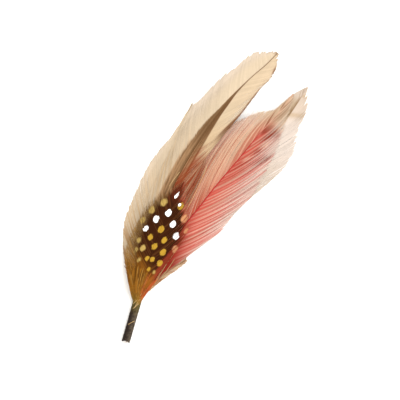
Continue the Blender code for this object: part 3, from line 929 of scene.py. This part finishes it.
def blotch(x, y, middle, size, angle):
    """A soft oval spot, long in the direction of angle from +Y."""
    c, s = math.cos(math.radians(angle)), math.sin(math.radians(angle))
    dx, dy = x - middle[0], y - middle[1]
    across, down = dx * c - dy * s, dx * s + dy * c
    return 1 - ease(0.5, 1.2, np.hypot(across / size[0], down / size[1]))


# The red feather's dark patches and the pale gaps between them: middle, half size, and angle from +Y.
RED_BARS = (
    ((15.2, 85.2), (1.3, 4.0), 30), ((18.6, 85.4), (2.4, 2.8), 32), ((16.4, 82.4), (1.2, 3.2), 32),
    ((15.4, 75.8), (1.0, 2.2), 32), ((19.0, 73.2), (1.2, 3.6), 34),
)
RED_GAPS = (((17.3, 79.3), (1.3, 2.2), 30), ((17.4, 90.6), (0.8, 1.9), 25), ((13.2, 71.0), (0.7, 1.6), 30))
# x of the cream feather's right edge, whose shadow falls on the red feather; deeper salmon is painted along
# it to offset the shadow's grey.
CREAM_EDGE = {50: -0.2, 61.5: -0.9, 66.5: -2.2, 76: 0.2, 86: 3.0, 95.8: 4.9}


def red_masks(x, y, offset, known):
    """Dye strong along the shaft and in lines between the locks, which hold painted shade; the outline pale.
    """
    left = known["side"] < 0
    right = known["side"] > 0
    fine, share = known["fine"], known["share"]
    bars = np.clip(sum(blotch(x, y, *bar) for bar in RED_BARS), 0, 1) * (0.3 + 0.35 * some(fine, 0.6, 0.2))
    bars += 0.8 * bars * np.maximum(some(known["lock"], 0.5, 0.2), lock_lines(known, 0.4))
    mottled = 0.6 * some(fine, 0.32) + 0.3 * some(known["strand"], 0.4)
    mottled = blotch(x, y, (15.3, 72.0), (3.4, 17.0), 25) * mottled
    gaps = np.clip(sum(blotch(x, y, *gap) for gap in RED_GAPS), 0, 1)
    high = ease(83, 93, y)
    beside = right * (1 - ease(0.4, 5.0, offset)) + left * 0.55 * (1 - ease(0.2, 3.0, -offset))
    busy = right * blotch(x, y, (14.0, 66.0), (4.0, 13.0), 30)
    wine = left * (1 - ease(38, 60, y + 5 * (fine - 0.5))) * (0.7 + 0.3 * fine)
    deep = right * (1 - ease(23, 47, y + 2.2 * offset)) + left * (1 - ease(22, 38, y))
    # A painted correction for shade: high along the cream feather's shadow, where the red vane is painted
    # deeper salmon to offset its grey.
    shaded = 1 - ease(0.3, 4.5, x - along(CREAM_EDGE, y))
    # Lines along the lock edges: the deeper red of the barbs beneath, with painted shade where the locks
    # part.
    lines = lock_lines(known, 0.40 - 0.20 * share)
    lines = lines * (right * (1 - 0.75 * ease(0.55, 1.0, share)) + left * 0.35)
    lines = np.maximum(lines, busy * np.maximum(0.35 * fine, lock_lines(known, 0.5)))
    brown = some(fine, 0.35, 0.15) * high * (1 - ease(0.85, 1.0, share))
    rusty = left * some(fine, 0.3) * blotch(x, y, (15.2, 90.5), (2.2, 8.0), 12)
    veins = left * some(1 - fine, 0.3) * ease(44, 54, y) * (1 - ease(0.8, 1.0, share))
    right_veins = right * some(1 - fine, 0.25) * (1 - ease(0.85, 1, share))
    from_edge = np.minimum(known["across"], 1 - known["across"])
    middle = right * ease(0.25, 0.45, from_edge) * (1 - known["lock"])
    undyed = left * some(1 - known["strand"], 0.14) * (1 - ease(60, 76, y)) * ease(26, 34, y) * 0.9
    rim = ease(0.22, 0.82, share) * right + 0.5 * ease(0.6, 1, share) * left
    return {
        "pink": right.astype(float),
        "low": left * np.maximum(1 - ease(44, 80, y), 0.8 * shaded),
        "vein": np.maximum(0.8 * veins, 0.6 * right_veins),
        "rim": rim * ease(16, 34, y),
        "blush": beside * (1 - 0.8 * high) * (0.5 + 0.5 * fine),
        "wine": wine,
        "streak": np.maximum(0.95 * lines, 0.6 * right * some(fine, 0.25)) * (1 - high) * ease(10, 24, y),
        "bar": np.maximum(right * np.maximum(bars, mottled), 0.8 * rusty),
        "deep": deep * 0.95,
        "pale": highest(undyed, 0.55 * gaps * right, 0.4 * middle * (1 - bars) * ease(34, 46, y)),
        "tan": (left * 0.8 + right * 0.75) * high * (1 - 0.7 * rusty),
        "brown": brown * 0.65,
        "shaft": known["shaft"] * (1 - 0.9 * ease(78, 92, y)),
    }


def pale_masks(x, y, offset, known):
    """Two faint bars near the tip, brown barbs left of them, and brown nearer to the stem."""
    right = known["side"] > 0
    left = known["side"] < 0
    bars = np.exp(-((y - 94.5 - 0.4 * offset) / 1.6) ** 2)
    bars = bars + np.exp(-((y - 103.5 - 0.3 * offset) / 1.3) ** 2)
    streak = blotch(x, y, (20.2, 96.5), (0.55, 6.5), 6) * (0.5 + 0.6 * known["fine"])
    tip = ease(103, 107, y) * 0.15
    whole = right * (0.35 * ease(90, 98, y) + 0.22 * (1 - ease(70, 80, y)) + 0.6 * (1 - ease(26, 36, y)))
    inner = (0.85 - 0.6 * ease(99, 104, y)) * left * ease(84, 96, y)
    return {
        "faint_bar": highest(0.8 * bars * right, whole, inner, tip),
        "brown": np.maximum(streak * 0.8, 0.4 * left * some(known["fine"], 0.3) * ease(88, 98, y)),
        "edge": (1 - ease(0.3, 1.0, known["to_end"])) * 0.25,
        "low": (1 - ease(24, 36, y)) * 0.8 * some(known["fine"], 0.4),
        "shaft": known["shaft"] * ease(82, 90, y) * (1 - 0.7 * ease(100, 105, y)),
    }


def small_masks(x, y, offset, known):
    """Two brown bars across, and dark and pale barbs mixed."""
    bars = 0.3 * np.exp(-((y - 22.2) / 1.1) ** 2) + 0.8 * np.exp(-((y - 17.0 - 0.3 * offset) / 1.3) ** 2)
    dark = some(known["fine"], 0.45) * (1 - ease(0.7, 1, known["share"])) * (1 - 0.7 * ease(17, 22, y))
    return {
        "brown_bar": np.maximum(bars * (0.45 + 0.55 * known["fine"]), 0.85 * dark),
        "pale_barb": 0.9 * some(known["strand"], 0.3) * ease(11, 17, y),
        "edge": (1 - ease(0.3, 1.2, known["to_end"])) * 0.35,
    }


def gold_masks(x, y, offset, known):
    """The dye is golden near the stem, and greyer and paler towards the ends of the barbs."""
    high = ease(9, 17, y + 3 * (known["strand"] - 0.5))
    shade = np.maximum(lock_lines(known, 0.4) * 0.7, 0.7 * some(known["fine"], 0.3))
    return {
        "rim": ease(0.45, 1.0, known["share"]) * (0.4 + 0.6 * known["fine"]) * high,
        "soft": high * (0.35 + 0.65 * (1 - known["fine"])),
        "shade": shade * (1 - 0.4 * high),
        "pale": some(known["strand"], 0.08) * 0.7,
    }


# x at which the spotted feather's dark ground turns rust red, at each y.
DARK_EDGE = {8: 0.4, 17: 1.5, 25: 3.2, 31: 4.4, 34: 3.6, 38: 1.4, 41: -0.4, 44: -2.2, 48: -3.6, 52: -5.0}


def spotted_masks(x, y, offset, known):
    """Dark in the middle, straw at the loose left side, rust at the right and the tip, gilt at the stem."""
    left = known["side"] < 0
    right = known["side"] > 0
    fine, share = known["fine"], known["share"]
    ragged = 3 * (known["strand"] - 0.5)
    high = ease(40, 48, y + ragged)
    past_dark = x - along(DARK_EDGE, y) + 1.6 * (fine - 0.5)
    return {
        "streak": 0.4 * some(fine, 0.25),
        "soft": left * ease(0.5, 0.85, share) * ease(12, 22, y) * (0.35 + 0.65 * fine),
        "straw": left * ease(0.55, 0.9, share) * some(1 - fine, 0.45, 0.15) * ease(12, 20, y),
        "rust": np.maximum(right * ease(-1.2, 0.4, past_dark), high * 0.4),
        "flush": right * ease(-0.3, 1.4, past_dark) * ease(32, 40, y) * (0.6 + 0.4 * fine),
        "gilt": (1 - ease(9, 18, y + ragged + 0.5 * offset)) * (0.6 + 0.4 * fine),
    }


# The dots of the spotted feather: where they are in the plan, and half their width.
DOTS = {
    "white": (
        (-5, 37.5, 1.06), (-8.3, 33, 1.02), (-10.2, 27.8, 0.86), (-1.3, 34.2, 1.02), (2, 30.5, 1.06),
        (-5.2, 44.6, 0.38), (-5.15, 45.3, 0.32), (-5.1, 46.0, 0.25), (-5.0, 46.7, 0.17), (-2.5, 42.4, 0.36),
    ),
    "gold": (
        (-4.6, 30.3, 1.05), (-7, 25.5, 0.92), (-1.5, 27, 0.95), (0.2, 22.5, 0.98), (-3.9, 23, 0.95),
        (-4.3, 17.4, 0.72), (-2.3, 18, 0.78), (-1.8, 13.8, 0.6), (-1.7, 42, 1.05), (1, 18, 0.92),
    ),
    "tan": (
        (-8.5, 40.5, 1.2), (-11.5, 35.5, 1.05), (-12.9, 30.3, 0.9), (-13, 22, 0.8), (-10.6, 22.4, 0.75),
        (-10, 18.2, 0.85), (-7.7, 20.4, 0.95), (-7, 15.4, 0.7), (0.7, 13.7, 0.4),
    ),
    "peach": ((1.7, 38.3, 1.15), (4.6, 34.2, 0.8), (4, 25.7, 1.0)),
}
# A dot's length over its width, the blur of its edge in millimetres, and how far it leans.
DOT_LENGTH = 1.42
DOT_BLUR = {"white": 0.10, "gold": 0.18, "peach": 0.30, "tan": 0.35}
DOT_TILT = math.radians(6)


def cream_material(name):
    """Cream body feather with a brown stripe, whose barbs are smooth and well zipped."""
    c = bpy.context.scene.feather_cream
    tints = tints_from(c, "low rim base stripe_side stripe worn russet edge shaft")
    return barb_material(name, c.vane, tints, grain=0.07, crisp=("stripe_side", "stripe"))[0]


def add_dots(tree, colour, c):
    """Lays the round dots over a colour, each drawn out a little along the barbs, with a ragged edge."""
    place = add(tree, "TexCoord").outputs["Object"]
    plan = add(tree, "VectorMath", {0: place, 1: (1 / MM, 1 / MM, 0)}, operation="MULTIPLY")
    plan = add(tree, "VectorMath", {0: plan.outputs[0], 1: (*PLAN_SHIFT, 0)}, operation="SUBTRACT")
    plan = plan.outputs[0]
    cos, sin = math.cos(DOT_TILT), math.sin(DOT_TILT)
    wide = add(tree, "VectorMath", {0: plan, 1: (cos, -sin, 0)}, operation="DOT_PRODUCT")
    stretched = (sin / DOT_LENGTH, cos / DOT_LENGTH, 0)
    long = add(tree, "VectorMath", {0: plan, 1: stretched}, operation="DOT_PRODUCT")
    drawn = add(tree, "CombineXYZ", {"X": wide.outputs["Value"], "Y": long.outputs["Value"]}).outputs[0]
    wobble = add(tree, "TexNoise", {"Vector": plan, "Scale": 0.8, "Detail": 1.0})
    tone = add(tree, "Attribute", attribute_name="tone").outputs["Fac"]
    ragged = add(tree, "Math", {0: wobble.outputs["Fac"], 1: tone}, operation="ADD")
    ragged = add(tree, "Math", {0: ragged.outputs[0], 1: 0.5, 2: -0.5}, operation="MULTIPLY_ADD")
    for kind in ("tan", "peach", "gold", "white"):
        nearest = 9.0
        for x, y, half_width in DOTS[kind]:
            middle = (x * cos - y * sin, (x * sin + y * cos) / DOT_LENGTH, 0)
            away = add(tree, "VectorMath", {0: drawn, 1: middle}, operation="DISTANCE")
            past = add(tree, "Math", {0: away.outputs["Value"], 1: half_width}, operation="SUBTRACT")
            nearest = add(tree, "Math", {0: past.outputs[0], 1: nearest}, operation="MINIMUM").outputs[0]
        edge = add(tree, "Math", {0: nearest, 1: ragged.outputs[0]}, operation="ADD")
        inside = {"Value": edge.outputs[0], "From Min": DOT_BLUR[kind], "From Max": -DOT_BLUR[kind]}
        inside = add(tree, "MapRange", inside, interpolation_type="SMOOTHSTEP").outputs[0]
        colour = add(tree, "Mix", {0: inside, 6: colour, 7: getattr(c, kind)}, data_type="RGBA").outputs[2]
    return colour


def spotted_material():
    """Guinea fowl feather: near black brown, with round pale dots that the dye has turned gold."""
    c = bpy.context.scene.feather_spotted
    tints = tints_from(c, "streak soft straw rust flush gilt")
    made = barb_material("spotted_guinea_barbs", c.dark, tints, sheen=0.0, gloss=0.05)
    material, tree, shader = made
    colour = add_dots(tree, shader.inputs["Base Color"].links[0].from_socket, c)
    tree.links.new(colour, shader.inputs["Base Color"])
    return material


class FEATHER_OT_stem_tape(bpy.types.Operator):
    """Winds the tape round the quills and trims its end"""

    bl_idname = "feather.stem_tape"
    bl_label = "Stem Tape"

    def execute(self, context):
        settings = context.scene.feather_stem
        piece = wound_tape()
        piece.data.materials.append(tape_material(settings))
        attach(piece, BODY)
        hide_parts("stem_wrap")
        return {"FINISHED"}


def wound_tape(steps=48, rings_per_turn=8):
    """The tape: a tube whose wall steps out at each lap of the helix, with two lobes at its cut end."""
    ys = np.linspace(STEM_END[1], STEM_MOUTH[1], TAPE_TURNS * rings_per_turn + 1)
    lean = math.atan2(STEM_MOUTH[0] - STEM_END[0], STEM_MOUTH[1] - STEM_END[1])
    turn = np.arange(steps) * 2 * math.pi / steps
    shape = bmesh.new()
    walls = []
    for inset in (0.0, TAPE_WALL):
        made = []
        for y in ys:
            share = stem_share(y)
            radius = STEM_END_RADIUS + share * (STEM_MOUTH_RADIUS - STEM_END_RADIUS) - inset
            reach = np.full(steps, radius)
            if not inset:
                lap = (turn / (2 * math.pi) + share * TAPE_TURNS) % 1.0
                reach = radius + TAPE_LAP * (lap - 0.5) + CUT_LOBE * np.cos(2 * turn) * (1 - share)
            outward = reach * np.cos(turn)
            at_cut = (1 - share) ** 12
            dip = CUT_REACH * at_cut * np.cos(turn) ** 2 - CUT_SET_BACK * at_cut
            x = stem_x(y) + outward * math.cos(lean) + PLAN_SHIFT[0]
            along_stem = y - outward * math.sin(lean) - dip + PLAN_SHIFT[1]
            z = np.maximum(stem_height(y) + reach * np.sin(turn), 0.0)
            made.append([shape.verts.new(point * MM) for point in np.column_stack([x, along_stem, z])])
        for low, high in zip(made, made[1:]):
            for m in range(steps):
                n = (m + 1) % steps
                shape.faces.new((low[m], low[n], high[n], high[m]))
        walls.append(made)
    for end in (0, -1):
        outer, inner = walls[0][end], walls[1][end]
        for m in range(steps):
            n = (m + 1) % steps
            shape.faces.new((outer[m], outer[n], inner[n], inner[m]))
    bmesh.ops.recalc_face_normals(shape, faces=shape.faces)
    mesh = bpy.data.meshes.new("stem_tape")
    shape.to_mesh(mesh)
    shape.free()
    mesh.shade_smooth()
    piece = bpy.data.objects.new("stem_tape", mesh)
    bpy.context.scene.collection.objects.link(piece)
    return piece


def tape_material(settings):
    """Waxed crepe tape: dull, finely wrinkled, darker on its left side as painted shade, olive at the
    feathers.
    """
    material, tree, shader = new_material("waxed_crepe_tape", 0.65)
    shader.inputs["Specular IOR Level"].default_value = 0.15
    place = add(tree, "TexCoord").outputs["Object"]
    # Wrinkles of the crepe about 0.7 mm apart, and patches of wear about 1.5 mm wide.
    grain = add(tree, "TexNoise", {"Vector": place, "Scale": 1 / (0.7 * MM), "Detail": 4.0})
    patches = add(tree, "TexNoise", {"Vector": place, "Scale": 1 / (1.5 * MM), "Detail": 2.0})
    # Painted shade: the tape is darker on its left side and lighter on its right, where the light falls, and
    # its worn patches show only on the lighter side. It is olive gold from the mouth down.
    slope = (STEM_MOUTH[0] - STEM_END[0]) / (STEM_MOUTH[1] - STEM_END[1])
    axis_x = (stem_x(0) + PLAN_SHIFT[0] - slope * PLAN_SHIFT[1]) * MM
    across = add(tree, "VectorMath", {0: place, 1: (1, -slope, 0)}, operation="DOT_PRODUCT")
    lit = {"Value": across.outputs["Value"], "From Min": axis_x - 0.9 * MM, "From Max": axis_x + 1.0 * MM}
    lit = add(tree, "MapRange", lit)
    worn = add(tree, "Math", {0: patches.outputs["Fac"], 1: grain.outputs["Fac"]}, operation="ADD")
    worn = add(tree, "MapRange", {"Value": worn.outputs[0], "From Min": 0.85, "From Max": 1.15})
    share = add(tree, "Math", {0: worn.outputs[0], 1: lit.outputs[0]}, operation="MULTIPLY")
    tone = add(tree, "Mix", {0: lit.outputs[0], 6: settings.dark, 7: settings.tape}, data_type="RGBA")
    tone = add(tree, "Mix", {0: share.outputs[0], 6: tone.outputs[2], 7: settings.worn}, data_type="RGBA")
    parts = add(tree, "SeparateXYZ", {0: place})
    ragged = {0: grain.outputs["Fac"], 1: 3 * MM, 2: parts.outputs["Y"]}
    ragged = add(tree, "Math", ragged, operation="MULTIPLY_ADD")
    mouth = (STEM_MOUTH[1] + PLAN_SHIFT[1]) * MM
    stained = {"Value": ragged.outputs[0], "From Min": mouth - 4.5 * MM, "From Max": mouth + 0.8 * MM}
    stained = add(tree, "MapRange", stained)
    tinted = {0: stained.outputs[0], 6: tone.outputs[2], 7: settings.stain}
    tinted = add(tree, "Mix", tinted, data_type="RGBA")
    tree.links.new(tinted.outputs[2], shader.inputs["Base Color"])
    bump = add(tree, "Bump", {"Height": grain.outputs["Fac"], "Strength": 0.6, "Distance": 0.15 * MM})
    tree.links.new(bump.outputs[0], shader.inputs["Normal"])
    return material


# x of the left and the right side of the down that spreads from the stem's mouth, at each y.
TUFT_LEFT = {1: -1.9, 4: -4.7, 6.4: -7.4, 9.7: -10.4, 14: -12.2, 20: -13.6}
TUFT_RIGHT = {1: 1.4, 5.2: 2.2, 10.4: 3.7, 16: 4.8, 20: 5.4}


def tape_top(x, y):
    """Height of the tape's upper side, and of its axis beyond its edges."""
    radius = stem_height(y)
    return radius + np.sqrt(np.maximum(radius ** 2 - (x - stem_x(y)) ** 2, 0.0))


def lay_strands(starts, ends, bows, layers, widths, lift, thickness, values, rings=9, tip=0.8):
    """Single strands: each leaves its start, bows, and lies on the tape or on its layer's feather.

    values holds a value for each strand. They come back as a value for each point.
    """
    length = np.linalg.norm(ends - starts, axis=1)
    share = np.linspace(0, 1, rings)[None, :] * (1 - np.minimum(tip / length, MOST_TIP))[:, None]
    share = np.hstack([share, np.ones((len(starts), 1))])
    flat = barb_paths(starts, ends, bows, share)
    x, y = flat[:, :, 0], flat[:, :, 1]
    laid = np.stack([height(layer, x, y) for layer in range(TOP_LAYER + 1)])
    laid = np.take_along_axis(laid, np.broadcast_to(layers[None, :, None], (1, *x.shape)), axis=0)[0]
    on_tape = tape_top(x, np.clip(y, STEM_END[1], STEM_MOUTH[1]))
    z = on_tape + ease(0.0, 3.5, y) * (laid - on_tape) + lift[:, None]
    spread = np.ones_like(share)
    points, tris, quads = strip_mesh(np.dstack([flat, z]), widths[:, None] * spread, thickness)
    known = {key: per_point(value[:, None] * spread) for key, value in values.items()}
    return join_parts([(points, tris, quads, known)])


class FEATHER_OT_base_down(bpy.types.Operator):
    """Spreads the dyed down that hides the quills where they leave the tape"""

    bl_idname = "feather.base_down"
    bl_label = "Down at the Base"

    def execute(self, context):
        count = context.scene.feather_gold.tufts
        draw = np.random.default_rng(23)
        # Strands fan out from the mouth, 0 at the left and 1 at the right, and end 4 to 13.5 mm beyond it.
        fan = draw.uniform(0.0, 1.0, count)
        top_y = 4.0 + 9.5 * draw.uniform(0, 1, count) ** 1.3
        left, right = along(TUFT_LEFT, top_y), along(TUFT_RIGHT, top_y)
        ends = np.column_stack([left + (right - left) * (0.03 + 0.94 * fan), top_y])
        low_y = STEM_MOUTH[1] + 0.4 - 2.2 * draw.uniform(0, 1, count) ** 4
        starts = np.column_stack([stem_x(low_y) + 2.3 * (fan - 0.5) + draw.normal(0, 0.08, count), low_y])
        bows = 0.16 - 0.06 * fan + draw.normal(0, 0.05, count)
        # They lie on the gold feather at the left, the spotted one next to it, and the red one at the right.
        layers = np.where(fan < 0.33, GOLD.layer, np.where(fan < 0.74, SPOTTED.layer, RED.layer))
        widths = draw.uniform(0.14, 0.30, count)
        lift = draw.uniform(0.12, 0.40, count)
        thickness = context.scene.feather_barbs.thickness / MM
        values = {"fan": fan, "tone": draw.uniform(0, 1, count), "kind": draw.uniform(0, 1, count)}
        points, faces, known = lay_strands(starts, ends, bows, layers, widths, lift, thickness, values)
        y = points[:, 1]
        stored = {
            "tone": known["tone"],
            "shade": some(known["kind"], 0.35) * ease(2.5, 7, y) * (1 - ease(0.8, 0.9, known["fan"])),
            "orange": ease(0.62, 0.82, known["fan"]) * ease(-0.5, 2.5, y),
            "olive": 1 - ease(-1.5, 4.5, y),
            "pale": some(1 - known["kind"], 0.08) * 0.6,
        }
        c = context.scene.feather_gold
        tints = tints_from(c, "shade orange olive pale")
        material = barb_material("gold_dyed_down_at_base", c.vane, tints, grain=0.22)[0]
        piece = mesh_object("base_down", points, faces, stored)
        piece.data.materials.append(material)
        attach(piece, BODY)
        return {"FINISHED"}


# How high the barbs that have come away lie, and how thick they are.
STRAY_LIFT = 0.30
STRAY_THICKNESS = 0.08
# Single pale barbs that have come away: where each starts and ends, its bow, and the layer it lies on.
STRAYS = (
    ((3.2, 7.8), (4.6, 25.9), 0.10, 2),
    ((3.4, 9.4), (5.6, 22.5), -0.08, 2),
    ((2.6, 6.0), (3.2, 16.5), 0.06, 2),
    ((4.6, 11.0), (6.2, 17.8), 0.08, 0),
    ((0.9, 40.5), (0.2, 61.5), -0.08, 4),
    ((-1.1, -1.5), (0.4, 1.8), 0.12, 6),
    ((-0.3, -3.2), (1.1, 0.4), -0.10, 6),
    ((0.5, -0.9), (0.1, 4.4), 0.10, 6),
    ((-0.6, -0.4), (-1.9, 4.9), -0.12, 6),
    ((0.2, -2.6), (0.6, 1.9), 0.15, 6),
    ((0.9, -9.8), (2.9, -6.9), 0.16, 6),
    ((-9.6, 47.0), (-8.3, 54.5), 0.06, 4),
)


class FEATHER_OT_stray_barbs(bpy.types.Operator):
    """Lays the single pale barbs that have come away and lie on the tape and the feathers"""

    bl_idname = "feather.stray_barbs"
    bl_label = "Stray Barbs"

    def execute(self, context):
        starts, ends, bows, layers = (np.array(column) for column in zip(*STRAYS))
        count = len(STRAYS)
        widths = np.full(count, context.scene.feather_barbs.stray / MM)
        lift = np.full(count, STRAY_LIFT)
        values = {"tone": np.linspace(0.2, 0.8, count)}
        points, faces, known = lay_strands(
            starts, ends, bows, layers, widths, lift, STRAY_THICKNESS, values, rings=12
        )
        piece = mesh_object("stray_barbs", points, faces, known)
        c = context.scene.feather_stem
        piece.data.materials.append(barb_material("undyed_stray_barbs", c.fibre, [], grain=0.08)[0])
        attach(piece, BODY)
        return {"FINISHED"}


class FEATHER_OT_cream_feathers(bpy.types.Operator):
    """Grows the long cream feather with its brown stripe, and the cream feather behind it"""

    bl_idname = "feather.cream_feathers"
    bl_label = "Cream Feathers"

    def execute(self, context):
        grow_feather(CREAM, cream_masks, cream_material("cream_striped_barbs"))
        grow_feather(CREAM_SIDE, side_masks, cream_material("cream_plain_barbs"))
        return {"FINISHED"}


class FEATHER_OT_red_feather(bpy.types.Operator):
    """Grows the dyed feather: salmon on its left, and pink with parted locks on its right"""

    bl_idname = "feather.red_feather"
    bl_label = "Red Feather"

    def execute(self, context):
        c = context.scene.feather_red
        tints = tints_from(c, "pink low vein rim blush wine streak bar deep pale tan brown shaft")
        material = barb_material("dyed_red_barbs", c.salmon, tints, grain=0.13)[0]
        grow_feather(RED, red_masks, material)
        return {"FINISHED"}


class FEATHER_OT_barred_feathers(bpy.types.Operator):
    """Grows the ivory feather with faint bars, and the small beige one with brown bars"""

    bl_idname = "feather.barred_feathers"
    bl_label = "Barred Feathers"

    def execute(self, context):
        c = context.scene.feather_barred
        tints = tints_from(c, "faint_bar brown edge") + [("shaft", c.pale_shaft), ("low", c.brown_bar)]
        material = barb_material("ivory_barred_barbs", c.ivory, tints, grain=0.06)[0]
        grow_feather(PALE, pale_masks, material)
        tints = tints_from(c, "brown_bar pale_barb edge") + [("shaft", c.brown_shaft)]
        material = barb_material("beige_barred_barbs", c.beige, tints, grain=0.12)[0]
        grow_feather(SMALL, small_masks, material)
        return {"FINISHED"}


class FEATHER_OT_gold_feather(bpy.types.Operator):
    """Grows the downy gold feather whose edge shows at the lower left"""

    bl_idname = "feather.gold_feather"
    bl_label = "Gold Feather"

    def execute(self, context):
        c = context.scene.feather_gold
        tints = tints_from(c, "soft rim shade pale") + [("shaft", c.shade)]
        material = barb_material("gold_dyed_down", c.vane, tints, grain=0.16)[0]
        grow_feather(GOLD, gold_masks, material)
        return {"FINISHED"}


class FEATHER_OT_spotted_feather(bpy.types.Operator):
    """Grows the dark feather with round dots that lies on top"""

    bl_idname = "feather.spotted_feather"
    bl_label = "Spotted Feather"

    def execute(self, context):
        grow_feather(SPOTTED, spotted_masks, spotted_material())
        return {"FINISHED"}


# The plan's point in the middle of the picture, in millimetres, and the stage's places and sizes in metres.
PICTURE_CENTRE = np.array([3.93, 47.79])
CAMERA_HEIGHT = 0.5
FLOOR_SIZE = 3.0
KEY_PLACE = (0.25, 0.35, 0.55)
KEY_WIDTH = 0.9


class FEATHER_OT_stage(bpy.types.Operator):
    """Lays the white floor, hangs the soft lights and sets the camera above the bunch"""

    bl_idname = "feather.stage"
    bl_label = "Stage"

    def execute(self, context):
        settings = context.scene.feather_stage
        bpy.ops.mesh.primitive_plane_add(size=FLOOR_SIZE, location=(0, 0, 0))
        floor = context.object
        floor.name = "floor"
        material, _, shader = new_material("white_paper_sweep", 0.9)
        shader.inputs["Base Color"].default_value = (*settings.floor, 1)
        shader.inputs["Specular IOR Level"].default_value = 0.0
        floor.data.materials.append(material)
        world = bpy.data.worlds.new("soft_warm_room")
        context.scene.world = world
        world.use_nodes = True
        background = world.node_tree.nodes["Background"]
        background.inputs["Color"].default_value = (*settings.room, 1)
        background.inputs["Strength"].default_value = settings.fill
        bpy.ops.object.light_add(type="AREA", location=KEY_PLACE)
        key = context.object
        key.name = "soft_key"
        key.data.shape = "DISK"
        key.data.size = KEY_WIDTH
        key.data.energy = settings.key
        key.rotation_euler = key.location.to_track_quat("Z", "Y").to_euler()
        centre = (PICTURE_CENTRE + PLAN_SHIFT) * MM
        bpy.ops.object.camera_add(location=(*centre, CAMERA_HEIGHT))
        camera = context.object
        camera.rotation_euler = (0, 0, settings.turn)
        camera.data.type = "ORTHO"
        camera.data.ortho_scale = settings.picture_width
        camera.data.clip_start = 0.01
        context.scene.camera = camera
        context.scene.view_settings.view_transform = "Standard"
        return {"FINISHED"}


GROUPS = (
    ("feather_barbs", BarbSettings),
    ("feather_cream", CreamSettings),
    ("feather_red", RedSettings),
    ("feather_barred", BarredSettings),
    ("feather_spotted", SpottedSettings),
    ("feather_gold", GoldSettings),
    ("feather_stem", StemSettings),
    ("feather_stage", StageSettings),
)
OPERATORS = (
    FEATHER_OT_stem_tape,
    FEATHER_OT_cream_feathers,
    FEATHER_OT_red_feather,
    FEATHER_OT_barred_feathers,
    FEATHER_OT_gold_feather,
    FEATHER_OT_spotted_feather,
    FEATHER_OT_base_down,
    FEATHER_OT_stray_barbs,
    FEATHER_OT_stage,
)


class FEATHER_PT_bunch(bpy.types.Panel):
    """Lists the settings and the steps that make the bunch"""

    bl_idname = "FEATHER_PT_bunch"
    bl_label = "Feather Bunch"
    bl_space_type = "VIEW_3D"
    bl_region_type = "UI"
    bl_category = "Feathers"

    def draw(self, context):
        for operator in OPERATORS:
            self.layout.operator(operator.bl_idname)
        for name, group in GROUPS:
            box = self.layout.box()
            for setting in group.__annotations__:
                box.prop(getattr(context.scene, name), setting)


def register():
    for name, group in GROUPS:
        bpy.utils.register_class(group)
        setattr(bpy.types.Scene, name, PointerProperty(type=group))
    for shown in (*OPERATORS, FEATHER_PT_bunch):
        bpy.utils.register_class(shown)


def unregister():
    for shown in (FEATHER_PT_bunch, *reversed(OPERATORS)):
        bpy.utils.unregister_class(shown)
    for name, group in reversed(GROUPS):
        delattr(bpy.types.Scene, name)
        bpy.utils.unregister_class(group)


def main():
    register()
    for thing in bpy.context.scene.objects:
        thing.select_set(False)
    bpy.ops.feather.stem_tape()
    bpy.ops.feather.cream_feathers()
    bpy.ops.feather.red_feather()
    bpy.ops.feather.barred_feathers()
    bpy.ops.feather.gold_feather()
    bpy.ops.feather.spotted_feather()
    bpy.ops.feather.base_down()
    bpy.ops.feather.stray_barbs()
    bpy.ops.feather.stage()


if __name__ == "__main__":
    main()
